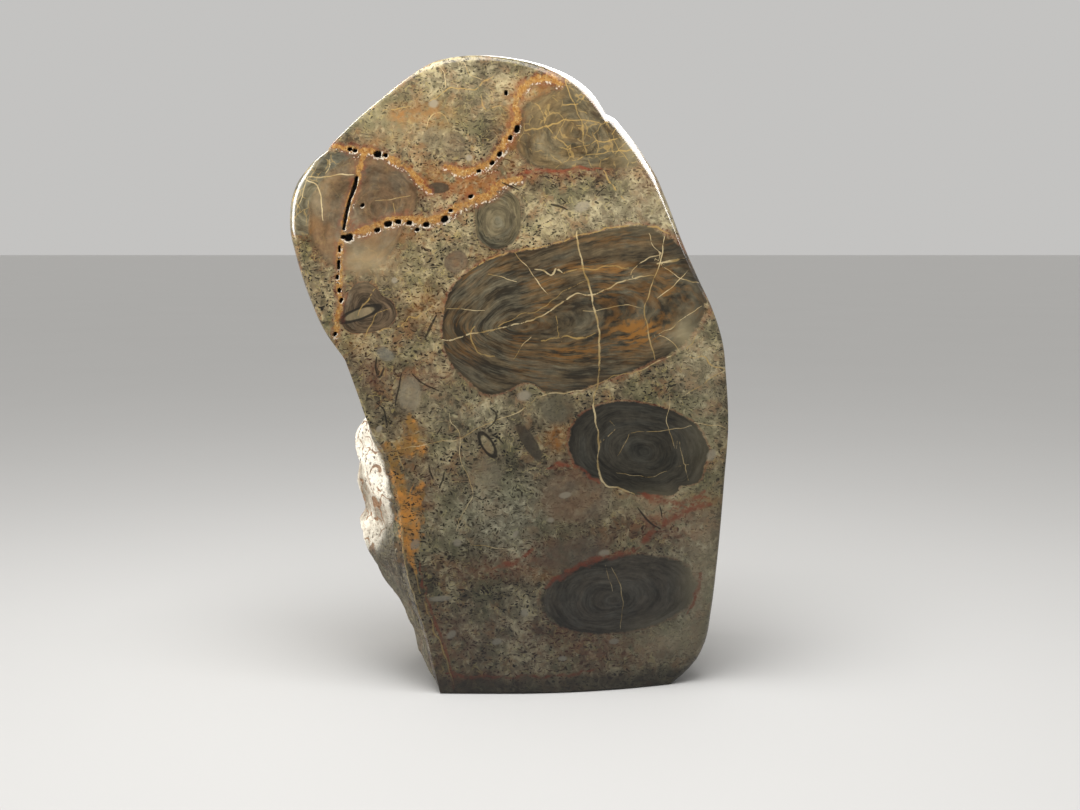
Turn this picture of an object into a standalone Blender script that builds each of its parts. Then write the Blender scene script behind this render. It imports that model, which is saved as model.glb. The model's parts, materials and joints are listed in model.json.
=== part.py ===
"""A freestanding stromatolite: one stone with a polished face, a broken left side and a rough back.

The stone stands on its sawn base at z = 0 and its polished face looks along -Y. Metres, +Z up,
with the origin at the middle of the underside of the stone's bounding box.
"""

import itertools
import math

import bmesh
import bpy
import numpy as np
from mathutils import Matrix, Vector

MM = 0.001

# The outline of the stone seen from the front. Each row is a point on the edge of the face, in mm:
# across, up, the width of the rounded edge there, how much further left the body bulges behind
# the edge, and the share of the stone's depth over which its side is polished.
LEFT_EDGE = (
    (-16.5, 0.0, 0.8, 0.5, 0.0),
    (-17.8, 5.3, 0.6, 3.0, 0.0),
    (-20.2, 15.5, 0.6, 7.0, 0.0),
    (-21.8, 19.8, 0.6, 8.5, 0.0),
    (-24.3, 28.3, 0.6, 10.0, 0.0),
    (-25.2, 32.8, 0.6, 11.8, 0.0),
    (-25.8, 42.2, 0.6, 12.0, 0.0),
    (-26.4, 47.1, 0.6, 12.3, 0.0),
    (-27.6, 52.2, 0.6, 9.5, 0.0),
    (-29.6, 56.8, 0.6, 7.2, 0.0),
    (-32.2, 61.1, 0.6, 3.8, 0.0),
    (-34.1, 65.5, 0.7, -3.0, 0.0),
    (-35.5, 69.5, 0.8, -2.5, 0.0),
    (-37.1, 73.9, 0.8, -3.0, 0.0),
    (-38.7, 78.2, 1.0, -4.5, 0.0),
    (-40.9, 81.1, 1.2, -2.5, 0.1),
    (-43.2, 84.1, 2.0, 0.0, 0.3),
    (-48.0, 94.0, 3.5, 0.0, 0.5),
    (-49.9, 99.2, 4.0, 0.0, 0.5),
    (-51.3, 103.9, 4.5, 0.0, 0.55),
    (-52.3, 108.0, 4.5, 0.0, 0.55),
    (-52.5, 112.7, 4.5, 0.0, 0.55),
    (-52.0, 116.6, 4.5, 0.0, 0.55),
    (-50.6, 120.2, 4.0, 0.0, 0.55),
    (-48.5, 122.9, 3.0, 0.0, 0.55),
    (-45.9, 125.6, 2.0, 0.0, 0.5),
    (-43.1, 127.6, 1.2, 0.0, 0.5),
)
TOP_EDGE = (
    (-43.1, 127.6, 1.2, 0.0, 0.5),
    (-42.3, 128.9, 1.2, 0.0, 0.5),
    (-39.3, 132.0, 1.2, 0.0, 0.5),
    (-35.5, 135.6, 1.2, 0.0, 0.5),
    (-29.8, 140.3, 1.2, 0.0, 0.5),
    (-24.5, 144.5, 1.2, 0.0, 0.5),
    (-20.7, 147.0, 1.5, 0.0, 0.55),
    (-17.7, 148.6, 2.0, 0.0, 0.6),
    (-14.7, 149.3, 2.0, 0.0, 0.6),
    (-7.1, 150.0, 2.0, 0.0, 0.6),
    (0.5, 149.3, 2.0, 0.0, 0.6),
    (8.7, 147.5, 3.0, 0.0, 0.6),
    (14.9, 144.9, 4.5, 0.0, 0.6),
    (20.2, 140.3, 4.5, 0.0, 0.6),
    (21.8, 138.0, 4.5, 0.0, 0.6),
    (22.9, 136.1, 4.5, 0.0, 0.6),
)
RIGHT_EDGE = (
    (38.7, 0.0, 1.2, 0.0, 0.6),
    (42.9, 3.0, 3.0, 0.0, 0.6),
    (45.2, 5.7, 3.0, 0.0, 0.6),
    (46.8, 9.0, 3.0, 0.0, 0.6),
    (48.4, 18.6, 2.0, 0.0, 0.6),
    (49.3, 28.7, 1.5, 0.0, 0.6),
    (50.8, 50.3, 1.2, 0.0, 0.6),
    (51.6, 62.9, 1.2, 0.0, 0.6),
    (51.0, 75.4, 1.2, 0.0, 0.6),
    (50.5, 81.2, 1.5, 0.0, 0.6),
    (47.9, 90.2, 2.0, 0.0, 0.6),
    (44.8, 96.9, 2.5, 0.0, 0.6),
    (41.2, 105.1, 3.0, 0.0, 0.6),
    (36.7, 117.0, 4.5, 0.0, 0.6),
    (34.7, 121.7, 5.0, 0.0, 0.6),
    (32.1, 125.9, 5.0, 0.0, 0.6),
    (26.9, 132.9, 5.0, 0.0, 0.6),
    (24.6, 135.3, 4.5, 0.0, 0.6),
    (22.9, 136.1, 4.5, 0.0, 0.6),
)
BASE_EDGE = (LEFT_EDGE[0], RIGHT_EDGE[0])
# The middle of the whole stone lies this far left of the line that distances across are counted from
MIDDLE = -0.5

# The polished face, in mm and degrees
FACE_FRONT = -30.7
FACE_LEAN = 6.0
FACE_MID_HEIGHT = 70.0
DOME_ACROSS = 2.5
DOME_UP = 3.0
HALF_WIDTH = 50.0
HALF_HEIGHT = 75.0
CORNER_FALL = 11.0

# The rough back, in mm
BACK_REACH = 25.9
BACK_TOP_FALL = 10.0
BACK_FOOT_FALL = 4.0
BACK_WIDEST = 60.0
BACK_SIDE_FALL = 5.0
BACK_TAPER = 3.0
BACK_ROUND = 9.0
BASE_ROUND = 2.0
HEART = (0.0, 72.0)

# Relief of the rough stone, in mm: (cell of the noise, height) of its lumps, and its ledges
LUMPS = ((30.0, 3.0), (13.0, 1.3), (6.0, 0.5))
LEDGE_PITCH = 21.0
LEDGE_STEP = 1.6
LEDGE_WANDER = 0.9
LEDGE_TILT = math.radians(24)
BASE_FADE = 4.0
NOISE_SEED = 7

# The open cleft near the face's upper left edge, as points across and up in mm, and its size
CLEFT = (
    (-34.2, 126.5),
    (-36.0, 122.6),
    (-37.9, 114.5),
    (-39.4, 107.1),
    (-40.2, 98.5),
    (-40.3, 91.5),
    (-40.6, 85.4),
)
CLEFT_RADIUS = 0.6
CLEFT_SINK = 0.25

# The vugs, the small open holes along the veins: across, up and radius in mm
VUGS = (
    (-30.9, 126.3, 0.9),
    (-27.0, 125.0, 0.6),
    (-28.8, 109.9, 0.7),
    (-25.9, 110.9, 0.6),
    (-23.4, 110.6, 0.7),
    (-19.5, 109.7, 0.7),
    (-17.8, 109.5, 0.6),
    (-15.2, 111.0, 0.7),
    (-2.4, 121.3, 0.7),
    (-5.9, 118.9, 0.5),
    (-33.6, 110.6, 0.6),
)
VUG_SINK = 0.2

# The mesh
FACE_EASE = 4
BACK_EASE = 12
ACROSS_STEPS = 22
UP_STEPS = 38
ROUND_ROWS = 2
WALL_ROWS = 10
BACK_ROWS = 4


def clear_scene():
    for obj in list(bpy.data.objects):
        bpy.data.objects.remove(obj)


def smooth_line(rows, steps):
    """steps + 1 rows evenly spaced along a cubic through the given rows, with chord lengths as its knots."""
    rows = np.array(rows, float)
    chords = np.linalg.norm(np.diff(rows[:, :2], axis=0), axis=1)
    knots = np.concatenate([[0.0], np.cumsum(chords)])
    slopes = np.gradient(rows, knots, axis=0)
    place = np.linspace(0.0, knots[-1], steps + 1)
    span = np.clip(np.searchsorted(knots, place, side="right") - 1, 0, len(chords) - 1)
    width = chords[span][:, None]
    s = (place - knots[span])[:, None] / width
    start_share = (1 + 2 * s) * (1 - s) ** 2
    end_share = s**2 * (3 - 2 * s)
    bend_start = s * (1 - s) ** 2 * width
    bend_end = s**2 * (s - 1) * width
    return (
        start_share * rows[span]
        + end_share * rows[span + 1]
        + bend_start * slopes[span]
        + bend_end * slopes[span + 1]
    )


def outline_sides():
    """The outline's four sides: the base and the top run left to right, the left and the right run upwards."""
    base = np.linspace(*np.array(BASE_EDGE), ACROSS_STEPS + 1)
    top = smooth_line(TOP_EDGE, ACROSS_STEPS)
    left = smooth_line(LEFT_EDGE, UP_STEPS)
    right = smooth_line(RIGHT_EDGE, UP_STEPS)
    return base, right, top, left


def loop_of(base, right, top, left):
    """The four sides as one closed loop, from the base's left corner round by the right and back down the left."""
    return np.concatenate([base[:-1], right[:-1], top[:0:-1], left[:0:-1]])


def sides_of(loop):
    """A loop cut back into its four sides."""
    a, b = ACROSS_STEPS, ACROSS_STEPS + UP_STEPS
    c, d = b + ACROSS_STEPS, b + ACROSS_STEPS + UP_STEPS
    ring = np.concatenate([loop, loop[:1]])
    return ring[: a + 1], ring[a : b + 1], ring[b : c + 1][::-1], ring[c : d + 1][::-1]


def patch(loop):
    """A Coons patch: a grid of points inside a loop, blended from its four sides less the corners' plane."""
    base, right, top, left = sides_of(loop)
    u = np.linspace(0, 1, ACROSS_STEPS + 1)[None, :, None]
    v = np.linspace(0, 1, UP_STEPS + 1)[:, None, None]
    ruled = (1 - v) * base[None] + v * top[None] + (1 - u) * left[:, None] + u * right[:, None]
    low = (1 - u) * base[0] + u * base[-1]
    high = (1 - u) * top[0] + u * top[-1]
    return ruled - (1 - v) * low - v * high


def face_y(x, z):
    """The polished face: a plane that leans back, a shallow dome, and a fall to the lower right corner."""
    lean = math.tan(math.radians(FACE_LEAN)) * z
    across = DOME_ACROSS * (x / HALF_WIDTH) ** 2
    up = DOME_UP * ((z - FACE_MID_HEIGHT) / HALF_HEIGHT) ** 2
    fall = np.clip(x / HALF_WIDTH, 0, 1) ** 2 * np.clip(1 - z / FACE_MID_HEIGHT, 0, 1) ** 2
    return FACE_FRONT + lean + across + up + CORNER_FALL * fall


def back_y(x, z):
    """The back: deepest at BACK_WIDEST above the base, falling forwards to the top, the foot and the sides."""
    above = np.clip((z - BACK_WIDEST) / (2 * HALF_HEIGHT - BACK_WIDEST), 0, 1)
    below = np.clip((BACK_WIDEST - z) / BACK_WIDEST, 0, 1)
    across = BACK_SIDE_FALL * (x / HALF_WIDTH) ** 2
    return BACK_REACH - BACK_TOP_FALL * above**2 - BACK_FOOT_FALL * below**2 - across


def inwards(points, distance):
    """Points of an outline moved towards the stone's heart by a distance."""
    way = points - np.array(HEART)
    return points - way / np.linalg.norm(way, axis=1)[:, None] * distance[:, None]


def eased(outline, movable, rounds):
    """The outline with its small notches smoothed out, by averaging each movable point with its neighbours."""
    calm = outline.copy()
    for _ in range(rounds):
        mean = (np.roll(calm, 1, axis=0) + 2 * calm + np.roll(calm, -1, axis=0)) / 4
        calm = np.where(movable[:, None], mean, calm)
    return calm


def with_depth(points, y):
    return np.stack([points[:, 0], y, points[:, 1]], axis=1)


def wall_rows(loop):
    """Closed rows of points from the face's edge to the back's, as (rows, points round, xyz), and each
    row's share of the way back.

    The edge turns over as a quarter ellipse, the wall runs back with its bulge and taper, and a second
    quarter ellipse turns into the back, where the outline has lost its small notches. The base keeps
    flat, so it has neither taper nor bulge.
    """
    outline, rounding, bulge = loop[:, :2], loop[:, 2], loop[:, 3]
    on_base = outline[:, 1] < 1e-9
    calm = eased(outline, ~on_base, BACK_EASE)
    back_round = np.where(on_base, BASE_ROUND, BACK_ROUND)
    taper = np.where(on_base, 0.0, BACK_TAPER)
    inner = inwards(eased(outline, ~on_base, FACE_EASE), rounding)
    edge_y = face_y(inner[:, 0], inner[:, 1])
    back_rim = inwards(calm, taper + back_round)
    rim_y = back_y(back_rim[:, 0], back_rim[:, 1])
    rows, shares = [], []
    for angle in np.linspace(0, math.pi / 2, ROUND_ROWS + 1)[:-1]:
        edge = inner + (outline - inner) * math.sin(angle)
        rows.append(with_depth(edge, edge_y + rounding * (1 - math.cos(angle))))
        shares.append(0.0)
    for share in np.linspace(0, 1, WALL_ROWS + 1)[:-1]:
        swell = math.sin(math.pi * min(share / 0.9, 1.0)) ** 0.8
        wall = inwards(outline + (calm - outline) * share, taper * share)
        wall[:, 0] -= bulge * swell * np.where(on_base, 0.0, 1.0)
        start, end = edge_y + rounding, rim_y - back_round
        rows.append(with_depth(wall, start + (end - start) * share))
        shares.append(share)
    for angle in np.linspace(0, math.pi / 2, BACK_ROWS + 1):
        edge = inwards(calm, taper + back_round * (1 - math.cos(angle)))
        rows.append(with_depth(edge, rim_y - back_round * (1 - math.sin(angle))))
        shares.append(1.0)
    return np.array(rows), np.array(shares)


def grid_faces(rows, columns, first, closed):
    """Four-sided faces between neighbouring rows of a grid of vertices numbered from first."""
    last = columns if closed else columns - 1
    row, column = np.meshgrid(np.arange(rows - 1), np.arange(last), indexing="ij")
    here = first + row * columns + column
    beside = first + row * columns + (column + 1) % columns
    return np.stack([here, beside, beside + columns, here + columns], axis=-1).reshape(-1, 4)


def lattice_noise(points, cell, seed):
    """Gradient noise, about -1 to 1: a slope at each corner of a lattice of cubes, blended smoothly between."""
    slopes = np.random.default_rng(seed).normal(size=(4096, 3))
    slopes /= np.linalg.norm(slopes, axis=1)[:, None]
    scaled = points / cell
    corner = np.floor(scaled).astype(np.int64)
    within = scaled - corner
    ease = within**3 * (within * (within * 6 - 15) + 10)
    total = np.zeros(len(points))
    for offset in itertools.product((0, 1), repeat=3):
        i, j, k = (corner + offset).T
        slope = slopes[(i * 73856093 ^ j * 19349663 ^ k * 83492791) & 4095]
        weight = np.where(offset, ease, 1 - ease).prod(axis=1)
        total += weight * ((within - offset) * slope).sum(axis=1)
    return 1.6 * total


def rough_height(points):
    """How far rough stone stands out, in mm: lumps of falling size, and ledges along the tilted bedding."""
    height = sum(
        size * lattice_noise(points, cell, NOISE_SEED + i) for i, (cell, size) in enumerate(LUMPS)
    )
    level = points[:, 2] * math.cos(LEDGE_TILT) + points[:, 0] * math.sin(LEDGE_TILT)
    level = level / LEDGE_PITCH + LEDGE_WANDER * lattice_noise(points, LEDGE_PITCH, NOISE_SEED + 9)
    part = level - np.floor(level)
    ledge = np.clip(part / 0.8, 0, 1) - np.clip((part - 0.8) / 0.2, 0, 1)
    return height + LEDGE_STEP * (ledge - 0.5)


def roughness_mask(loop, shares):
    """1 where the stone is rough and 0 where it is polished or sawn, for each point of the wall."""
    polished = loop[:, 4][None]
    rough = np.clip((shares[:, None] - polished) / 0.15, 0, 1)
    rough = np.where(shares[:, None] == 1.0, 1.0, rough)
    return np.where(loop[:, 1][None] < 1e-9, 0.0, rough)


def stone_mesh():
    """The smooth stone: the face, the wall and the back as three grids, with how rough each point is."""
    loop = loop_of(*outline_sides())
    rows, shares = wall_rows(loop)
    face = patch(rows[0][:, [0, 2]])
    face = np.stack([face[..., 0], face_y(face[..., 0], face[..., 1]), face[..., 1]], axis=-1)
    back = patch(rows[-1][:, [0, 2]])
    back = np.stack([back[..., 0], back_y(back[..., 0], back[..., 1]), back[..., 1]], axis=-1)
    points = np.concatenate([face.reshape(-1, 3), rows.reshape(-1, 3), back.reshape(-1, 3)])
    up, across = face.shape[:2]
    wall_first, back_first = up * across, up * across + rows.shape[0] * rows.shape[1]
    faces = np.concatenate(
        [
            grid_faces(up, across, 0, closed=False),
            grid_faces(rows.shape[0], rows.shape[1], wall_first, closed=True)[:, ::-1],
            grid_faces(up, across, back_first, closed=False)[:, ::-1],
        ]
    )
    rough = np.concatenate(
        [np.zeros(up * across), roughness_mask(loop, shares).ravel(), np.ones(up * across)]
    )
    mesh = bpy.data.meshes.new("stromatolite")
    mesh.from_pydata(points * MM, [], faces.tolist())
    mesh.attributes.new("rough", "FLOAT", "POINT").data.foreach_set("value", rough)
    return mesh


def weld(mesh):
    """Joins the three grids where they meet."""
    work = bmesh.new()
    work.from_mesh(mesh)
    bmesh.ops.remove_doubles(work, verts=work.verts, dist=0.01 * MM)
    bmesh.ops.recalc_face_normals(work, faces=work.faces)
    work.to_mesh(mesh)
    work.free()


def roughen(mesh):
    """Moves the rough points out along their normals, fading to nothing at the sawn base."""
    count = len(mesh.vertices)
    points, ways, rough = np.empty(count * 3), np.empty(count * 3), np.empty(count)
    mesh.vertices.foreach_get("co", points)
    mesh.vertex_normals.foreach_get("vector", ways)
    mesh.attributes["rough"].data.foreach_get("value", rough)
    points = points.reshape(-1, 3) / MM
    height = rough_height(points) * rough * np.clip(points[:, 2] / BASE_FADE, 0, 1)
    points += ways.reshape(-1, 3) * height[:, None]
    points[:, 0] -= MIDDLE
    points[:, 2] = np.maximum(points[:, 2], 0.0)
    mesh.vertices.foreach_set("co", (points * MM).ravel())
    mesh.shade_smooth()
    mesh.set_sharp_from_angle(angle=math.radians(40))


def cutter_object(name, mesh, collection):
    cutter = bpy.data.objects.new(name, mesh)
    cutter.hide_render = True
    cutter.display_type = "WIRE"
    collection.objects.link(cutter)
    return cutter


def cleft_cutter(collection):
    """The cleft as a thin tube that lies half sunk in the face."""
    line = bpy.data.curves.new("cleft_line", "CURVE")
    line.dimensions = "3D"
    line.bevel_depth = CLEFT_RADIUS * MM
    line.bevel_resolution = 1
    line.use_fill_caps = True
    spline = line.splines.new("POLY")
    spline.points.add(len(CLEFT) - 1)
    for point, (x, z) in zip(spline.points, CLEFT):
        point.co = ((x - MIDDLE) * MM, (face_y(x, z) + CLEFT_SINK) * MM, z * MM, 1)
    tube = bpy.data.objects.new("cleft_line", line)
    collection.objects.link(tube)
    mesh = bpy.data.meshes.new_from_object(tube.evaluated_get(bpy.context.evaluated_depsgraph_get()))
    bpy.data.objects.remove(tube)
    weld(mesh)
    return cutter_object("cleft_cutter", mesh, collection)


def vug_cutter(collection):
    """The vugs as small spheres centred just under the face."""
    work = bmesh.new()
    for x, z, radius in VUGS:
        place = Vector((x - MIDDLE, face_y(x, z) + VUG_SINK, z)) * MM
        bmesh.ops.create_icosphere(
            work, subdivisions=2, radius=radius * MM, matrix=Matrix.Translation(place)
        )
    mesh = bpy.data.meshes.new("vug_cutter")
    work.to_mesh(mesh)
    work.free()
    return cutter_object("vug_cutter", mesh, collection)


def stone_material():
    """Brown-grey limestone with a polish."""
    material = bpy.data.materials.new("limestone")
    material.use_nodes = True
    shader = material.node_tree.nodes["Principled BSDF"]
    shader.inputs["Base Color"].default_value = (0.16, 0.13, 0.085, 1)
    shader.inputs["Roughness"].default_value = 0.25
    shader.inputs["Metallic"].default_value = 0.0
    return material


def main():
    clear_scene()
    collection = bpy.data.collections.new("stromatolite")
    bpy.context.scene.collection.children.link(collection)
    mesh = stone_mesh()
    weld(mesh)
    roughen(mesh)
    mesh.materials.append(stone_material())
    stone = bpy.data.objects.new("stromatolite", mesh)
    collection.objects.link(stone)
    cutters = bpy.data.collections.new("cutters")
    bpy.context.scene.collection.children.link(cutters)
    for cutter in (cleft_cutter(cutters), vug_cutter(cutters)):
        cut = stone.modifiers.new(cutter.name, "BOOLEAN")
        cut.operation = "DIFFERENCE"
        cut.object = cutter


main()
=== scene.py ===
"""A freestanding stromatolite: a stone full of oncoids, with a polished face and a rough back.

The file is laid out as an add-on and is run as a script. It stands in for the CAD stone with a finer
surface of the same shape, and dresses it as oncolitic limestone with veins, stains, fossils and open
vugs. Shapes are worked out in millimetres, with +Z up and the polished face looking along -Y.
"""

import itertools
import json
import math

import bmesh
import bpy
import numpy as np
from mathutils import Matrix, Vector

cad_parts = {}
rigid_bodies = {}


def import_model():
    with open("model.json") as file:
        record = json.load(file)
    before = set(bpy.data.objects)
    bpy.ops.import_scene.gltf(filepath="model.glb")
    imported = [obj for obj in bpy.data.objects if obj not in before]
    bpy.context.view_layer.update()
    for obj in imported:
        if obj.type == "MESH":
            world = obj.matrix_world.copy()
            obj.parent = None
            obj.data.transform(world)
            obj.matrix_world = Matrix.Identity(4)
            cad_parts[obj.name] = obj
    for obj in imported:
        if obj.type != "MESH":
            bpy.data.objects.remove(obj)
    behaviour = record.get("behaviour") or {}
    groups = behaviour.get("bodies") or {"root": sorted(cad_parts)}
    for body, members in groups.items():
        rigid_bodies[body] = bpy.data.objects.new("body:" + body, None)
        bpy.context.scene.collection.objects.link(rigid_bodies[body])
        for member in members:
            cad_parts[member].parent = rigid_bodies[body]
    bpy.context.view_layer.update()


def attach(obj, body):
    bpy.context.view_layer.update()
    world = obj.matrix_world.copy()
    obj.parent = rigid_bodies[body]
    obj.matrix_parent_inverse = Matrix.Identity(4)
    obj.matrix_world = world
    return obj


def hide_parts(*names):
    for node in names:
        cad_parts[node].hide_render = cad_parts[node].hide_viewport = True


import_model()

bl_info = {
    "name": "Stromatolite",
    "version": (1, 0, 0),
    "blender": (4, 5, 0),
    "location": "View3D > Sidebar > Stromatolite",
    "description": "Builds a polished slab of oncolitic limestone and a plain stage for it",
    "category": "Add Mesh",
}

MM = 0.001

# The stage: the floor's half side in metres, the room's colour, and how the front light falls
FLOOR_HALF = 20.0
ROOM_COLOUR = (1.0, 0.99, 0.97, 1.0)
FRONT_SOFTNESS = math.radians(30)
FRONT_WAY = (0.45, 0.65, -0.75)

# Outline of the stone
# Each row is a point on the edge of the face, in mm: across, up, the width of the rounded edge there,
# how much further left the body bulges behind the edge, and the share of the depth that is polished.
LEFT_EDGE = (
    (-16.5, 0.0, 0.8, 0.5, 0.0),
    (-17.8, 5.3, 0.6, 3.0, 0.0),
    (-20.2, 15.5, 0.6, 7.0, 0.0),
    (-21.8, 19.8, 0.6, 8.5, 0.0),
    (-24.3, 28.3, 0.6, 10.0, 0.0),
    (-25.2, 32.8, 0.6, 11.8, 0.0),
    (-25.8, 42.2, 0.6, 12.0, 0.0),
    (-26.4, 47.1, 0.6, 12.3, 0.0),
    (-27.6, 52.2, 0.6, 9.5, 0.0),
    (-29.6, 56.8, 0.6, 7.2, 0.0),
    (-32.2, 61.1, 0.6, 3.8, 0.0),
    (-34.1, 65.5, 0.7, -3.0, 0.0),
    (-35.5, 69.5, 0.8, -2.5, 0.0),
    (-37.1, 73.9, 0.8, -3.0, 0.0),
    (-38.7, 78.2, 1.0, -4.5, 0.0),
    (-40.9, 81.1, 1.2, -2.5, 0.1),
    (-43.2, 84.1, 2.0, 0.0, 0.3),
    (-48.0, 94.0, 3.5, 0.0, 0.5),
    (-49.9, 99.2, 4.0, 0.0, 0.5),
    (-51.3, 103.9, 4.5, 0.0, 0.55),
    (-52.3, 108.0, 4.5, 0.0, 0.55),
    (-52.5, 112.7, 4.5, 0.0, 0.55),
    (-52.0, 116.6, 4.5, 0.0, 0.55),
    (-50.6, 120.2, 4.0, 0.0, 0.55),
    (-48.5, 122.9, 3.0, 0.0, 0.55),
    (-45.9, 125.6, 2.0, 0.0, 0.5),
    (-43.1, 127.6, 1.2, 0.0, 0.5),
)
TOP_EDGE = (
    (-43.1, 127.6, 1.2, 0.0, 0.5),
    (-42.3, 128.9, 1.2, 0.0, 0.5),
    (-39.3, 132.0, 1.2, 0.0, 0.5),
    (-35.5, 135.6, 1.2, 0.0, 0.5),
    (-29.8, 140.3, 1.2, 0.0, 0.5),
    (-24.5, 144.5, 1.2, 0.0, 0.5),
    (-20.7, 147.0, 1.5, 0.0, 0.55),
    (-17.7, 148.6, 2.0, 0.0, 0.6),
    (-14.7, 149.3, 2.0, 0.0, 0.6),
    (-7.1, 150.0, 2.0, 0.0, 0.6),
    (0.5, 149.3, 2.0, 0.0, 0.6),
    (8.7, 147.5, 3.0, 0.0, 0.6),
    (14.9, 144.9, 4.5, 0.0, 0.6),
    (20.2, 140.3, 4.5, 0.0, 0.6),
    (21.8, 138.0, 4.5, 0.0, 0.6),
    (22.9, 136.1, 4.5, 0.0, 0.6),
)
RIGHT_EDGE = (
    (38.7, 0.0, 1.2, 0.0, 0.6),
    (42.9, 3.0, 3.0, 0.0, 0.6),
    (45.2, 5.7, 3.0, 0.0, 0.6),
    (46.8, 9.0, 3.0, 0.0, 0.6),
    (48.4, 18.6, 2.0, 0.0, 0.6),
    (49.3, 28.7, 1.5, 0.0, 0.6),
    (50.8, 50.3, 1.2, 0.0, 0.6),
    (51.6, 62.9, 1.2, 0.0, 0.6),
    (51.0, 75.4, 1.2, 0.0, 0.6),
    (50.5, 81.2, 1.5, 0.0, 0.6),
    (47.9, 90.2, 2.0, 0.0, 0.6),
    (44.8, 96.9, 2.5, 0.0, 0.6),
    (41.2, 105.1, 3.0, 0.0, 0.6),
    (36.7, 117.0, 4.5, 0.0, 0.6),
    (34.7, 121.7, 5.0, 0.0, 0.6),
    (32.1, 125.9, 5.0, 0.0, 0.6),
    (26.9, 132.9, 5.0, 0.0, 0.6),
    (24.6, 135.3, 4.5, 0.0, 0.6),
    (22.9, 136.1, 4.5, 0.0, 0.6),
)
BASE_EDGE = (LEFT_EDGE[0], RIGHT_EDGE[0])
# The middle of the whole stone lies this far left of the line that distances across are counted from
MIDDLE = -0.5

# The polished face, in mm and degrees
FACE_FRONT = -30.7
FACE_LEAN = 6.0
FACE_MID_HEIGHT = 70.0
DOME_ACROSS = 2.5
DOME_UP = 3.0
HALF_WIDTH = 50.0
HALF_HEIGHT = 75.0
CORNER_FALL = 11.0

# The rough back, in mm, and where on the way back the wall's bulge ends and how full it is
BACK_REACH = 25.9
BACK_TOP_FALL = 10.0
BACK_FOOT_FALL = 4.0
BACK_WIDEST = 60.0
BACK_SIDE_FALL = 5.0
BACK_TAPER = 3.0
BULGE_END = 0.9
BULGE_FULLNESS = 0.8
BACK_ROUND = 9.0
BASE_ROUND = 2.0
HEART = (0.0, 72.0)

# Relief of the rough stone, in mm: (cell of the noise, height) of its lumps, and its ledges
LUMPS = ((30.0, 3.0), (13.0, 1.3), (6.0, 0.5))
GRIT = ((2.6, 0.22), (1.2, 0.12), (0.7, 0.05))
LEDGE_PITCH = 21.0
LEDGE_STEP = 1.6
LEDGE_RISE = 0.8
LEDGE_WANDER = 0.9
LEDGE_TILT = math.radians(24)
BASE_FADE = 4.0
ON_BASE = 1e-9
POLISH_END_CELL = 16.0
POLISH_END_WANDER = 0.16
POLISH_END_RAMP = 0.15
NOISE_SEED = 7

# The mesh: steps of its grids, rounds of easing, how finely it is cut round the openings, and how far
# from the face, a line and an opening its points still count
FACE_EASE = 86
BACK_EASE = 257
ACROSS_STEPS = 120
UP_STEPS = 176
ROUND_ROWS = 8
WALL_ROWS = 34
BACK_ROWS = 10
SPACING = 0.85
MERGE_DISTANCE = 0.01
SHARP_ANGLE = math.radians(45)
FACE_MARGIN = 0.5
LINE_MARGIN = 3.0
OPENING_MARGIN = 2.6
OPENING_CUTS = 2
OPENING_FRAY = 0.30
OPENING_CELL = 0.9
OPENING_EDGE = 1.25
OPENING_WALL = 0.5
WANDER_CELL = 2.4
LEAN_RANGE = 0.5
REACH_RANGE = (12.0, 70.0)
# What a point holds where no line is near, in half widths, and how near a line has to be to count
FAR = 30.0
NEAR_ENOUGH = 40.0
TAPER_LENGTH = 2.5
OPENING_TAPER = 0.15

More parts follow.
